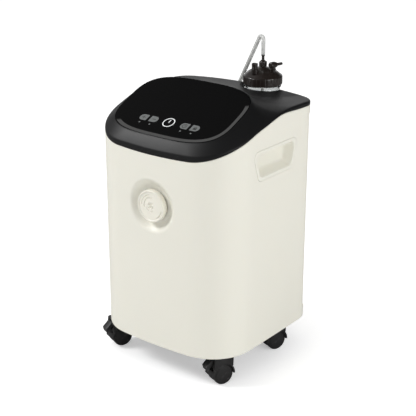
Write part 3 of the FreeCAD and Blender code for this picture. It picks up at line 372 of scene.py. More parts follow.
def put(node, **values):
    """Set up a node. Capitalised names are inputs, which link to a socket or take a value."""
    for name, value in values.items():
        if name[0].islower():
            setattr(node, name, value)
        else:
            feed(node.inputs[name.replace("_", " ")], value)
    return node


def feed(socket, value):
    """Link a socket to another or set it; a plain colour gets its alpha here."""
    if isinstance(value, bpy.types.NodeSocket):
        socket.id_data.links.new(value, socket)
    else:
        socket.default_value = (*value, 1) if socket.type == "RGBA" else value


def add(tree, kind, **values):
    """A new shader node's outputs."""
    return put(tree.nodes.new("ShaderNode" + kind), **values).outputs


def maths(tree, operation, *values, kind="Math"):
    node = tree.nodes.new("ShaderNode" + kind)
    node.operation = operation
    for socket, value in zip(node.inputs, values):
        feed(socket, value)
    return node.outputs["Value"]


def noise(tree, place, scale, detail=2):
    return add(tree, "TexNoise", Vector=place, Scale=scale, Detail=detail)["Fac"]


def mixed(tree, share, a, b, kind="RGBA"):
    return add(tree, "Mix", data_type=kind, Factor=share, A=a, B=b)["Result"]


def ranged(tree, value, low, high, start=0, end=1, kind="LINEAR"):
    """low to high while value runs from start to end."""
    return add(tree, "MapRange", interpolation_type=kind, Value=value, From_Min=start, From_Max=end,
               To_Min=low, To_Max=high)["Result"]


def bumped(tree, height, strength, distance):
    return add(tree, "Bump", Height=height, Strength=strength, Distance=distance)["Normal"]


def node_material(name):
    """A new material, its node tree, its shader and a socket with the piece's own coordinates."""
    material = bpy.data.materials.new(name)
    material.use_nodes = True
    tree = material.node_tree
    return material, tree, tree.nodes["Principled BSDF"], add(tree, "TexCoord")["Object"]


def moulded(name, colour, roughness, grain=0.12, grain_scale=900, vary=0.03, wear=0.0, specular=0.5,
            coat=0.0, subsurface=0.0):
    """Moulded plastic: slow colour drift, fine grain in the surface and rubbed edges."""
    material, tree, shader, place = node_material(name)
    drift = noise(tree, place, 9, 5)
    dark = [max(0.0, c * (1 - vary)) for c in colour]
    light = [min(1.0, c * (1 + vary)) for c in colour]
    tint = mixed(tree, drift, dark, light)
    if wear:
        edge = ranged(tree, add(tree, "NewGeometry")["Pointiness"], 0, wear, 0.52, 0.62)
        tint = mixed(tree, edge, tint, [min(1.0, c * 0.5 + 0.12) for c in colour])
    put(shader, Base_Color=tint, Roughness=ranged(tree, drift, roughness - 0.05, roughness + 0.07),
        Normal=bumped(tree, noise(tree, place, grain_scale, 3), grain, 0.0002),
        Specular_IOR_Level=specular, Coat_Weight=coat)
    if subsurface:
        put(shader, Subsurface_Weight=subsurface, Subsurface_Radius=(0.004, 0.003, 0.002))
    return material


def metal(name, colour, roughness):
    """Machined or plated metal with fine streaks."""
    material, tree, shader, place = node_material(name)
    streak = noise(tree, add(tree, "Mapping", Vector=place, Scale=(40, 40, 1200))["Vector"], 12)
    put(shader, Base_Color=mixed(tree, streak, [c * 0.85 for c in colour], colour),
        Roughness=ranged(tree, streak, roughness * 0.8, roughness * 1.25),
        Normal=bumped(tree, streak, 0.08, 0.0001), Metallic=1)
    return material


WHITE = moulded("white_casing", (0.80, 0.785, 0.70), 0.38, grain=0.10, grain_scale=1400, vary=0.012,
                subsurface=0.05)
KNOB_WHITE = moulded("knob_white", (0.82, 0.80, 0.71), 0.34, grain=0.08, grain_scale=1600, vary=0.015,
                     subsurface=0.08)
LID = moulded("lid_charcoal", (0.008, 0.008, 0.0085), 0.42, grain=0.30, grain_scale=1300, vary=0.12,
              specular=0.32)
BLACK = moulded("black_plastic", (0.012, 0.012, 0.0125), 0.45, grain=0.35, grain_scale=1100, vary=0.15,
                wear=0.25)
CASTER = moulded("caster_nylon", (0.014, 0.0135, 0.0135), 0.42, grain=0.3, vary=0.2, wear=0.35)
BROWN = moulded("cap_brown", (0.016, 0.011, 0.009), 0.30, grain=0.15, grain_scale=1200, vary=0.2,
                specular=0.6, coat=0.4)
PALE = moulded("pale_plastic", (0.72, 0.74, 0.75), 0.4)
RUBBER = moulded("soft_rubber", (0.02, 0.02, 0.02), 0.75, grain=0.5, grain_scale=700, vary=0.2)
FOAM = moulded("filter_foam", (0.03, 0.03, 0.033), 0.95, grain=1.0, grain_scale=420, vary=0.4,
               specular=0.1)
BOARD = moulded("circuit_board", (0.02, 0.13, 0.05), 0.3, grain=0.4, grain_scale=300, vary=0.25)
ALUMINIUM = metal("cast_aluminium", (0.6, 0.61, 0.62), 0.4)
STEEL = metal("ground_steel", (0.62, 0.62, 0.63), 0.25)
COPPER = metal("copper_tube", (0.75, 0.42, 0.25), 0.3)
ZINC = metal("zinc_screw", (0.62, 0.62, 0.6), 0.35)


# ---- White shell ----

LEVEL_TOP = 416.0               # rows are level up to here and climb to the seam above
TOP_ROLL, LOW_ROLL = 1.6, 1.2   # radii of the shell's rolled edges
DISHED_Y = -100.0               # only the front face, ahead of this, is dished


def white_shell():
    """Front and sides in one closed skin: bowed front, dished recess, rolled top edge."""
    columns = casing_columns()
    heights = [FLOOR_GAP + 2 + 36 * k for k in range(6)]
    z = KNOB_Z - BOWL_R - 4
    while z < KNOB_Z + BOWL_R + 4:
        heights.append(z)
        z += 1.5
    heights += [407, LEVEL_TOP]
    rows = []

    def row(inset, height):
        ring = []
        for x, y, nx, ny in columns:
            px, py = x - nx * inset, y - ny * inset
            pz = height(y)
            if py < DISHED_Y:
                py += bowl_depth(px, pz)
            ring.append((px, py, pz))
        rows.append(ring)

    for k in range(4):
        a = math.pi / 2 * k / 3
        row(LOW_ROLL * (1 - math.sin(a)), lambda y: FLOOR_GAP + LOW_ROLL * (1 - math.cos(a)))
    for h in heights:
        row(0, lambda y: h)
    for t in (0.2, 0.4, 0.6, 0.8, 0.95):
        row(0, lambda y: LEVEL_TOP + (seam_height(y) - TOP_ROLL - LEVEL_TOP) * t)
    for k in range(5):
        a = math.pi / 2 * k / 4
        row(TOP_ROLL * (1 - math.cos(a)), lambda y: seam_height(y) - TOP_ROLL * (1 - math.sin(a)))
    for t in (1.0, 0.6, 0.2):
        row(WALL, lambda y: LEVEL_TOP + (seam_height(y) - 0.01 - LEVEL_TOP) * t)
    for h in reversed(heights):
        row(WALL, lambda y: h)
    row(WALL, lambda y: FLOOR_GAP)
    shell = loft("casing_shell", rows, wrap=True)

    wide = HALF_W + 40
    window = [(-wide, COVER_LOW), (wide, COVER_LOW), (wide, COVER_HIGH), (-wide, COVER_HIGH)]
    carve(shell, prism("t1", rounded_points(window, 2), REAR_SEAM_Y, 200, lambda u, v, w: (u, w, v)))
    carve(shell, prism("t2", circle(NOOK_X, NOOK_Y, NOOK_R + GAP, 72), 300, 560))
    for side in (-1, 1):
        opening = grip_outline(GRIP_FLANGE, 13)
        carve(shell, prism("t3", opening, HALF_W - 10, HALF_W + 10, lambda u, v, w: (side * w, u, v)))
    return shell


finish(white_shell(), "casing", WHITE, "white_casing", "main_shell")


# ---- Hand grips ----

def hand_grip(side, tag):
    """Flange with rolled edges and a hollow cup behind it: (growth, corner radius, x) rings."""
    face, back, flange = HALF_W, HALF_W - GRIP_DEPTH, GRIP_FLANGE - 0.45
    sizes = ((-4, 6.6, back - 1.6), (0.5, 7.8, back - 1.2), (1.8, 8.6, back + 3), (2.2, 9, face - 3),
             (flange, 12.6, face - 3), (flange, 12.6, face + 0.1), (flange - 0.2, 12.4, face + 0.4),
             (flange - 0.7, 12, face + GRIP_PROUD), (2.4, 11.5, face + GRIP_PROUD),
             (1.4, 11, face + 0.4), (0.6, 10.6, face - 0.3), (0.1, 10.4, face - 1.4),
             (-0.6, 10.2, face - 4), (-4.2, 9.5, back + 6.5), (-5.4, 9.2, back + 3.8),
             (-7.4, 8.4, back + 2.2), (-10.5, 7, back + 1.5))
    return loft("hand_grip_" + tag, [[(side * x, y, z) for y, z in grip_outline(grow, radius)]
                                     for grow, radius, x in sizes])


for side, tag in ((-1, "left"), (1, "right")):
    finish(hand_grip(side, tag), "casing", WHITE, "white_casing", "grip_cup_" + tag)


# ---- Lid ----

LID_ANGLES = [2 * math.pi * (k + 0.5) / 540 for k in range(540)]


def glass_reach(angle):
    """Distance from the panel's middle to its edge, in plan."""
    c = abs(math.cos(angle)) / GLASS_HALF_W
    s = abs(math.sin(angle)) / GLASS_HALF_D
    return (c ** GLASS_POWER + s ** GLASS_POWER) ** (-1 / GLASS_POWER)


def casing_hit(angle):
    """Where a ray from the panel's middle meets the casing's outline: point and normal."""
    c, s = math.cos(angle), math.sin(angle)
    sign = 1 if c >= 0 else -1
    c = abs(c)
    candidates = []
    if c > 1e-9:
        y = GLASS_Y + HALF_W / c * s
        if FRONT_CORNER_Y <= y <= REAR_CORNER_Y:
            candidates.append((HALF_W, y, 1, 0))
    if s > 0:
        x = (HALF_D - GLASS_Y) / s * c
        if x <= REAR_CORNER_X:
            candidates.append((x, HALF_D, 0, 1))
    circles = [(0, FRONT_CENTRE_Y, FRONT_BOW_R, -math.pi / 2, -math.pi / 2 + LEAN),
               (FRONT_CORNER_X, FRONT_CORNER_Y, FRONT_CORNER_R, -math.pi / 2 + LEAN, 0),
               (REAR_CORNER_X, REAR_CORNER_Y, REAR_CORNER_R, 0, math.pi / 2)]
    for cx, cy, radius, low, high in circles:
        dx, dy = -cx, GLASS_Y - cy
        b = dx * c + dy * s
        root = b * b - dx * dx - dy * dy + radius * radius
        if root < 0:
            continue
        reach = -b + math.sqrt(root)
        x, y = reach * c, GLASS_Y + reach * s
        a = math.atan2(y - cy, x - cx)
        if low - 1e-6 <= a <= high + 1e-6 and reach > 0:
            candidates.append((x, y, math.cos(a), math.sin(a)))
    x, y, nx, ny = min(candidates, key=lambda p: math.hypot(p[0], p[1] - GLASS_Y))
    return sign * x, y, sign * nx, ny


def on_glass(u, v, w):
    """A point of the panel's own flat frame, carried to its tilted place."""
    c, s = math.cos(GLASS_TILT), math.sin(GLASS_TILT)
    return (u, GLASS_Y + v * c - w * s, GLASS_Z0 + GLASS_SLOPE * GLASS_Y + v * s + w * c)


def glass_ring(grow, level):
    """The panel's outline, grown, at a depth square to the glass."""
    half_w = GLASS_HALF_W + grow
    half_d = GLASS_HALF_D * math.hypot(1, GLASS_SLOPE) + grow
    tilt = math.cos(GLASS_TILT)
    ring = []
    for a in LID_ANGLES:
        reach = glass_reach(a)
        u, v = reach * math.cos(a), reach * math.sin(a) / tilt
        ring.append(on_glass(u * half_w / GLASS_HALF_W, v * half_d * tilt / GLASS_HALF_D, level))
    return ring


def shoulder_ring(t, drop=0.0, inset=0.0):
    """Points between the glass (t = 0) and the crease (t = 1); the lid levels out behind."""
    ring = []
    straight = t * (0.85 + 0.15 * t)
    hollow = 1 - (1 - t) ** REAR_HOLLOW
    for a in LID_ANGLES:
        near = glass_reach(a) + 0.6
        fx, fy, nx, ny = casing_hit(a)
        fx, fy = fx - nx * inset, fy - ny * inset
        gx, gy = near * math.cos(a), GLASS_Y + near * math.sin(a)
        glass_z = GLASS_Z0 + GLASS_SLOPE * gy
        rearward = clamped(math.sin(a) / 0.7)
        rearward = rearward ** 2 * (3 - 2 * rearward)
        fall = straight + (hollow - straight) * rearward
        z = glass_z + (crease_height(fx, fy) - glass_z) * fall - drop
        ring.append((gx + (fx - gx) * t, gy + (fy - gy) * t, z))
    return ring


def wall_ring(inset, height):
    """Points on the casing's outline, pulled in by inset, at height(x, y)."""
    ring = []
    for a in LID_ANGLES:
        x, y, nx, ny = casing_hit(a)
        ring.append((x - nx * inset, y - ny * inset, height(x, y)))
    return ring


def blended(a, corner, b, steps):
    """Rings that round the turn between two rings, by way of a corner ring."""
    rings = []
    for k in range(1, steps):
        t = k / steps
        rings.append([tuple(p * (1 - t) ** 2 + q * 2 * t * (1 - t) + r * t * t for p, q, r in zip(u, v, w))
                      for u, v, w in zip(a, corner, b)])
    return rings


def band_height(x, y, share):
    """A height on the lid's upright band: 0 at its lower edge, 1 at the crease."""
    low = seam_height(y) + GAP
    return low + (crease_height(x, y) - low) * share


def lid_skin():
    """Rings from the glass pocket's rim over the shoulder, round the crease and down the band."""
    def foot(x, y):
        return band_height(x, y, 0)

    def below_crease(x, y):
        crease = crease_height(x, y)
        return crease - min(4.0, 0.55 * (crease - foot(x, y)))

    steps, edge, roll = 20, 0.93, 0.7
    rings = [glass_ring(0.9, -0.05)] + [shoulder_ring(edge * k / steps) for k in range(1, steps)]
    start, band = shoulder_ring(edge), wall_ring(0, below_crease)
    rings += [start] + blended(start, wall_ring(0, crease_height), band, 7) + [band]
    for k in range(4):
        a = math.pi / 2 * k / 3
        rings.append(wall_ring(roll * (1 - math.cos(a)), lambda x, y: foot(x, y) + roll * (1 - math.sin(a))))
    return rings


def dark_lid():
    """Closed skin: glass pocket, shoulders, soft crease, upright band, hollow inside."""
    pocket = GLASS_T + 1.2
    rings = [glass_ring(-12, -pocket), glass_ring(0.35, -pocket), glass_ring(0.35, -0.8),
             glass_ring(0.5, -0.3)]
    rings += lid_skin()
    rings.append(wall_ring(WALL, lambda x, y: band_height(x, y, 0)))
    for t in (0.98, 0.85, 0.7, 0.55, 0.4, 0.25, 0.1):
        rings.append(shoulder_ring(t, 4.5, WALL))
    rings += [glass_ring(-1.5, -pocket - 2.4), glass_ring(-12, -pocket - 2.4)]
    return loft("lid", rings, wrap=True, smooth=40)


def notch_lid(lid):
    """Cut the humidifier's nook through the lid and close the cut with a curved wall."""
    wall = loft("t6", lid_skin())
    carve(wall, prism("t4", circle(NOOK_X, NOOK_Y, NOOK_R + 2.5, 90), 470, 560), "INTERSECT")
    carve(lid, wall, "UNION")
    return carve(lid, prism("t5", circle(NOOK_X, NOOK_Y, NOOK_R, 90), 460, 570), smooth=40)


finish(notch_lid(dark_lid()), "casing", LID, "dark_cover", "top_cover")


# ---- Glass panel ----

REFLECTION_OUTER, REFLECTION_INNER = 1.5, 8.0   # the painted reflection line's sides, on the bevel, in millimetres inside the panel's edge
REFLECTION_LINE_END = -0.075                   # metres; where the painted reflection line fades out


def panel_glass():
    """Flat gloss panel with a ground bevel just inside its edge: (growth, height) rings."""
    sizes = [(-0.4, -GLASS_T), (0, -GLASS_T + 0.4), (0, -0.45), (-0.15, -0.25), (-0.5, -0.12), (-1.6, -0.05)]
    sizes += [(grow, 0.0) for grow in (-7.6, -14, -24, -38, -52, -64)]
    return loft("glass_panel_gloss", [glass_ring(*size) for size in sizes], smooth=50)


def glass_material():
    """Near-black gloss, with a painted reflection: a paler line in the base colour follows the ground bevel
    at front and right.
    """
    material, tree, shader, place = node_material("black_glass")
    split = add(tree, "SeparateXYZ", Vector=place)

    def level(inset):
        """1 on a line that runs inset millimetres inside the panel's edge."""
        depth = (GLASS_HALF_D - inset * math.cos(GLASS_TILT)) * MM
        across = maths(tree, "DIVIDE", split["X"], (GLASS_HALF_W - inset) * MM)
        along = maths(tree, "DIVIDE", maths(tree, "SUBTRACT", split["Y"], GLASS_Y * MM), depth)
        powers = [maths(tree, "POWER", maths(tree, "ABSOLUTE", a), GLASS_POWER) for a in (across, along)]
        return maths(tree, "POWER", maths(tree, "ADD", *powers), 1 / GLASS_POWER)

    def step(value, start, end):
        return ranged(tree, value, 0, 1, start, end, "SMOOTHSTEP")

    inside = step(level(REFLECTION_OUTER), 1.004, 0.998)
    beyond = step(level(REFLECTION_INNER), 0.998, 1.004)
    # The painted reflection line fades out past the front's left corner and half way up the right side.
    along = maths(tree, "ADD", maths(tree, "MULTIPLY", split["X"], -0.42), split["Y"])
    band = maths(tree, "MULTIPLY", maths(tree, "MULTIPLY", inside, beyond),
                 step(along, REFLECTION_LINE_END + 0.004, REFLECTION_LINE_END - 0.004))
    # Base colour: near-black, turning to the paler painted reflection line where band is 1.
    put(shader, Base_Color=mixed(tree, band, (0.0030, 0.0030, 0.0031), (0.075, 0.075, 0.074)),
        Roughness=ranged(tree, noise(tree, place, 14, 6), 0.04, 0.12), Specular_IOR_Level=0.12)
    return material


finish(panel_glass(), "casing", glass_material(), "black_glass", "glass_panel")


# ---- Marks printed on the glass ----

def mark_material(name, colour, painted_glow):
    """Printed ink with a fine speck, and a faint painted shine given as emission."""
    material, tree, shader, place = node_material(name)
    tint = mixed(tree, noise(tree, place, 1500), [c * 0.8 for c in colour], colour)
    put(shader, Base_Color=tint, Emission_Color=tint, Emission_Strength=painted_glow, Roughness=0.5)
    return material


def printed(name, outlines, material, thick=0.12):
    """Thin closed ink shapes on the panel. Outlines are in the panel's own (u, v)."""
    verts, faces = [], []
    for outline in outlines:
        first, count = len(verts), len(outline)
        verts += [on_glass(u, v, w) for w in (0.0, thick) for u, v in outline]
        faces += ring_faces(2, count, first=first)
        faces += [tuple(range(first + count, first + 2 * count)), tuple(range(first, first + count))[::-1]]
    finish(mesh_object(name, verts, faces), "casing", material, "black_glass")


def ring_arc(u, v, radius, width, start, end):
    """A band round a centre, between two angles in degrees."""
    turns = [math.radians(start + (end - start) * k / 48) for k in range(49)]
    sides = ((radius + width / 2, turns), (radius - width / 2, turns[::-1]))
    return [(u + r * math.cos(a), v + r * math.sin(a)) for r, way in sides for a in way]


def full_ring(u, v, radius, width):
    """Two half bands that meet."""
    return [ring_arc(u, v, radius, width, 0, 180), ring_arc(u, v, radius, width, 180, 360)]


def bar(u0, v0, u1, v1, width):
    along = Vector((u1 - u0, v1 - v0)).normalized() * width / 2
    x, y = -along.y, along.x
    return [(u0 + x, v0 + y), (u1 + x, v1 + y), (u1 - x, v1 - y), (u0 - x, v0 - y)]


def half_pill(u, v, flat_right):
    """A D-shaped key: one straight side, two small corners, a round side."""
    sign, half, corner = (-1 if flat_right else 1), KEY_H / 2, 0.8
    outline = []
    for k in range(25):
        a = math.pi / 2 - math.pi * k / 24
        outline.append((u + sign * (KEY_W / 2 - half + half * math.cos(a)), v + half * math.sin(a)))
    flat = u - sign * KEY_W / 2
    return outline + [(flat + sign * corner, v - half), (flat, v - half + corner),
                      (flat, v + half - corner), (flat + sign * corner, v + half)]


ICON_V = (ICON_Y - GLASS_Y) / math.cos(GLASS_TILT)
# The white and grey marks shine a little by emission: painted light, not a lamp.
BRIGHT = mark_material("icon_white", (0.80, 0.82, 0.82), 0.25)
GREY = mark_material("key_grey", (0.17, 0.18, 0.178), 0.04)
INK = mark_material("key_ink", (0.03, 0.03, 0.03), 0.0)

power = full_ring(POWER_U, ICON_V, 11.2, 1.9)
power.append(bar(POWER_U, ICON_V - 0.5, POWER_U, ICON_V + 7.5, 1.8))
printed("icon_power", power, BRIGHT)
spots = [middle + out for middle in KEY_PAIRS for out in (-KEY_OUT, KEY_OUT)]
printed("icon_keys", [half_pill(u, ICON_V, k % 2 == 0) for k, u in enumerate(spots)], GREY)

plus, minus, clock, lock = spots
signs = [bar(plus - 4, ICON_V, plus + 4, ICON_V, 1.3), bar(plus, ICON_V + 0.7, plus, ICON_V + 4, 1.3),
         bar(plus, ICON_V - 4, plus, ICON_V - 0.7, 1.3),
         bar(minus - 4, ICON_V, minus + 4, ICON_V, 1.3),
         *full_ring(clock, ICON_V, 4.6, 1.1), bar(clock, ICON_V - 0.4, clock, ICON_V + 3.2, 1.0),
         bar(clock + 0.6, ICON_V, clock + 2.6, ICON_V, 0.9),
         bar(lock - 3.6, ICON_V - 1.8, lock + 3.6, ICON_V - 1.8, 4.4),
         ring_arc(lock, ICON_V + 0.5, 2.6, 1.0, 0, 180)]
printed("icon_signs", signs, INK, 0.2)
printed("icon_lamps", [ring_arc(u, ICON_V - 14.5, 0.9, 1.7, 0, 359) for u in spots], GREY)


# ---- Flow knob ----

ARCS = ((21.0, 95, 185), (15.5, 75, 200), (25.2, 300, 352), (10.5, 200, 300))   # radius, start, end
HUB_R = 7.5


def knob_relief(r, a):
    """Depth of the shallow arcs and the hub pressed into the knob's face."""
    depth = 0.0
    for radius, start, end in ARCS:
        away = abs(r - radius)
        within = min(a - start, end - a)
        if away < 1.0 and within > 0:
            depth += 1.5 * (1 - away ** 2) * min(1.0, within / 8)
    if r < HUB_R:
        lobe = 0.5 + 0.5 * math.cos(math.radians(4 * a + 28 * r))
        depth += 2.2 * lobe * min(1.0, r / 2.2) * min(1.0, (HUB_R - r) / 1.5)
    return depth


def flow_knob():
    """Socket for the spindle, rolled rim, and rings over the face that carry its relief."""
    face, socket = KNOB_FRONT + 1.9, SPINDLE_R + 0.02
    sizes = [(socket, KNOB_FRONT + 6), (socket, KNOB_BACK - 3), (KNOB_R - 3, KNOB_BACK - 3)]
    sizes += [(KNOB_R - inset, KNOB_BACK - deep)
              for inset, deep in ((2.5, 0.1), (0.9, 0.1), (0.3, 0.6), (0.15, 1.4))]
    sizes += [(KNOB_R - inset, KNOB_FRONT + deep)
              for inset, deep in ((0.1, 8), (0, 3.2), (0.15, 2.0), (0.6, 1.0), (1.3, 0.35), (2.2, 0.05),
                                  (2.8, 0.3), (3.3, 1.0), (3.8, 1.7))]
    turns = full_turn(240)
    rings = [[(r * math.cos(a), y, KNOB_Z + r * math.sin(a)) for a in turns] for r, y in sizes]
    r = KNOB_R - 4.6
    while r > 0.6:
        rings.append([(r * math.cos(a), face + knob_relief(r, math.degrees(a)), KNOB_Z + r * math.sin(a))
                      for a in turns])
        r -= 0.4
    return loft("flow_knob_cap", rings, smooth=50)


finish(flow_knob(), "flow_knob", KNOB_WHITE, "white_casing", "flow_knob")


# ---- Humidifier ----

JAR_R, JAR_NECK_R, JAR_WALL = 34.5, 32.0, 2.0
NOOK_FLOOR = 348.0
CAP_R, CAP_LOW, CAP_HIGH, DOME_TOP = 38.25, 514.0, 530.6, 546.0
NUT_TOP, STEM_TOP, BARB_TOP = 557.5, 570.5, 583.0
HOSE_PEAK, HOSE_BENDS = 621.0, (5.8, 20.0)
RELIEF_X, RELIEF_Y, RELIEF_R = NOOK_X - 1, NOOK_Y - 26, 5.0
NOZZLE_X, NOZZLE_Z = NOOK_X + 23, 552.5
NOZZLE_TURN = math.radians(15)
HOSE_R, HOSE_BORE_R = 3.9, 2.7


def clear_material():
    """Clear plastic that casts no dark shadow on what stands behind it."""
    material, tree, shader, place = node_material("clear_jar")
    path = add(tree, "LightPath")
    passing = maths(tree, "MAXIMUM", path["Is Shadow Ray"], path["Is Diffuse Ray"])
    put(shader, Base_Color=(0.93, 0.95, 0.95), Transmission_Weight=1, IOR=1.49,
        Roughness=ranged(tree, noise(tree, place, 60, 4), 0.04 * 0.6, 0.04 * 1.6),
        Alpha=maths(tree, "SUBTRACT", 1, passing))
    return material


def humidifier_jar():
    """Clear jar with two raised level lines and a flanged neck."""
    low = NOOK_FLOOR + 4
    profile = [(0, low + 2), (JAR_R - 8, low + 1), (JAR_R - 6, low), (JAR_R - 1.5, low), (JAR_R, low + 3)]
    for z in (low + 30, low + 128):
        profile += [(JAR_R, z - 1.2), (JAR_R + 0.5, z - 0.4), (JAR_R + 0.5, z + 0.4), (JAR_R, z + 1.2)]
    bore, neck_bore = JAR_R - JAR_WALL, JAR_NECK_R - JAR_WALL
    profile += [(JAR_R, 500), (JAR_R - 0.5, 503), (JAR_NECK_R, 507), (JAR_NECK_R, 508), (JAR_R + 1.5, 509),
                (JAR_R + 1.5, 512), (JAR_NECK_R, 513), (JAR_NECK_R, 526), (neck_bore, 526),
                (neck_bore, 506), (bore, 501), (bore, low + 5), (0, low + 4.5)]
    return turned("humidifier_jar_clear", profile, (NOOK_X, NOOK_Y, 0), 0.5, 120)


finish(humidifier_jar(), "casing", clear_material(), "clear_jar", "humidifier_jar")


def around_nook(r, a, z):
    """A point round the humidifier's axis."""
    return NOOK_X + r * math.cos(a), NOOK_Y + r * math.sin(a), z


def humidifier_cap():
    """Collar with broad flutes, a sloping dome, a boss for the relief valve, and holes for the valve, the
    inlet and the outlet.
    """
    neck = JAR_NECK_R + 0.8
    sizes = [(0.8, 541), (12, 541), (24, 536), (JAR_NECK_R - 3, 531), (JAR_NECK_R - 3, 528.3), (neck, 528.3),
             (neck, CAP_LOW), (CAP_R - 1.0, CAP_LOW), (CAP_R - 0.3, CAP_LOW + 0.25), (CAP_R, CAP_LOW + 1.0),
             (CAP_R, CAP_LOW + 3), (CAP_R, CAP_HIGH - 3.5), (CAP_R - 0.1, CAP_HIGH - 1.6),
             (CAP_R - 0.5, CAP_HIGH - 0.7), (CAP_R - 1.2, CAP_HIGH - 0.1), (CAP_R - 2.4, CAP_HIGH + 0.5),
             (CAP_R - 4, CAP_HIGH + 1.6), (31, 535.2), (28, 537.4), (24, 539.6), (18, 542.4), (12, 544.9),
             (9.6, 545.8), (8, DOME_TOP), (0.8, DOME_TOP)]
    rings = []
    for r, z in sizes:
        on_collar = r > CAP_R - 0.6 and CAP_LOW + 1.5 < z < CAP_HIGH - 0.8
        flute = 0.5 if on_collar else 0.0
        rings.append([around_nook(r - flute * max(0.0, math.cos(24 * a)) ** 6, a, z) for a in full_turn(288)])
    cap = loft("humidifier_lid", rings, wrap=True)
    rim = RELIEF_R + 1.5
    boss = [(0, 537), (rim, 537), (rim, 546.2), (rim - 0.8, 547), (0, 547)]
    carve(cap, turned("t7", boss, (RELIEF_X, RELIEF_Y, 0)), "UNION")
    holes = ((RELIEF_X, RELIEF_Y, RELIEF_R + 0.05, 541), (NOOK_X, NOOK_Y, 4.6, 530),
             (NOZZLE_X, NOOK_Y, 5, 530))
    for x, y, r, low in holes:
        carve(cap, prism("t8", circle(x, y, r, 36), low, 560))
    return cap


finish(humidifier_cap(), "casing", BROWN, "brown_plastic", "humidifier_cap")

# Hose tail through the cap: a stem with a stop ring, and barbs inside the hose.
tail = [(0, 541), (4.5, 541), (4.5, DOME_TOP + 0.9), (3.4, DOME_TOP + 0.9), (3.4, NUT_TOP + 0.2),
        (4.4, NUT_TOP + 0.3), (4.4, NUT_TOP + 1.4), (2.7, NUT_TOP + 2.2), (2.6, STEM_TOP - 3.6),
        (3.6, STEM_TOP - 3), (3.6, STEM_TOP - 0.3), (2.4, STEM_TOP - 0.1)]
for k in range(4):
    z = STEM_TOP + 0.4 + 3 * k
    tail += [(2.2, z), (HOSE_BORE_R - 0.05, z + 0.3), (2.2, z + 2.6)]
tail += [(2.0, BARB_TOP), (1.4, BARB_TOP), (1.4, 543), (0, 543)]
finish(turned("inlet_hose_tail", tail, (NOOK_X, NOOK_Y, 0), 0.2, 48), "casing", BROWN, "brown_plastic",
       "inlet_barb")


def inlet_nut():
    """Union nut with six wings: (radius, height, wing) rings."""
    low = DOME_TOP + 1.15
    sizes = ((3.55, NUT_TOP - 0.3, 0), (3.55, low + 0.3, 0), (4, low, 0), (6.4, low, 1.0),
             (6.9, low + 0.6, 1.4), (7.0, NUT_TOP - 3, 1.4), (6.9, NUT_TOP - 1.6, 1.2),
             (6.6, NUT_TOP - 1.0, 0.3), (6.2, NUT_TOP - 0.3, 0), (5.6, NUT_TOP, 0), (4, NUT_TOP, 0))
    return loft("inlet_union_nut", [[around_nook(r + wing * max(0.0, math.cos(6 * a)) ** 3, a, z)
                                     for a in full_turn(144)] for r, z, wing in sizes], wrap=True)


finish(inlet_nut(), "inlet_nut", BROWN, "brown_plastic", "inlet_nut")

plunger = [(0, 541.3)]
plunger += [(RELIEF_R + out, z) for out, z in ((-0.1, 541.3), (-0.1, 547.3), (0.9, 547.7), (0.9, 549.5),
                                               (0.4, 550), (0.4, 551), (0.9, 551.5), (0.9, 557),
                                               (0.3, 557.5), (-0.6, 557.5), (-1.2, 556.6))]
plunger.append((0, 556.4))
finish(turned("relief_plunger", plunger, (RELIEF_X, RELIEF_Y, 0), 0.3, 64), "relief_valve", BROWN,
       "brown_plastic", "relief_valve")


def swept(name, path, rings):
    """A tube along a path. rings gives (distance share, radius) pairs along it, then back inside."""
    spots = [Vector(p) for p in path]
    lengths = [0.0]
    for a, b in zip(spots, spots[1:]):
        lengths.append(lengths[-1] + (b - a).length)

    def at(share):
        want = share * lengths[-1]
        k = 0
        while k < len(spots) - 2 and lengths[k + 1] < want:
            k += 1
        t = (want - lengths[k]) / (lengths[k + 1] - lengths[k])
        return spots[k].lerp(spots[k + 1], t), (spots[k + 1] - spots[k]).normalized()

    side, frames = Vector((0.3, 1, 0.1)), {}
    for share in sorted({share for share, radius in rings}):
        point, along = at(share)
        side = (side - along * side.dot(along)).normalized()
        frames[share] = (point, side.copy(), along.cross(side))
    out = []
    for share, radius in rings:
        point, u, v = frames[share]
        out.append([tuple(point + u * (radius * math.cos(a)) + v * (radius * math.sin(a)))
                    for a in full_turn(32)])
    return loft(name, out, wrap=True, smooth=40)


def rounded_run(points, radii, steps=24):
    """Straight runs with an arc at each inner point, as evenly dense points."""
    line = [Vector(points[0])]
    for before, corner, after, radius in zip(points, points[1:], points[2:], radii):
        corner = Vector(corner)
        back, ahead = (Vector(before) - corner).normalized(), (Vector(after) - corner).normalized()
        half = back.angle(ahead) / 2
        reach = radius / math.tan(half)
        centre = corner + (back + ahead).normalized() * (radius / math.sin(half))
        first = corner + back * reach - centre
        last = corner + ahead * reach - centre
        sweep = first.angle(last)
        across = first.cross(last).normalized()
        line += [centre + Matrix.Rotation(sweep * k / steps, 3, across) @ first for k in range(steps + 1)]
    line.append(Vector(points[-1]))
    dense = [line[0]]
    for a, b in zip(line, line[1:]):
        parts = max(1, math.ceil((b - a).length / 3))
        dense += [a.lerp(b, (k + 1) / parts) for k in range(parts)]
    return dense


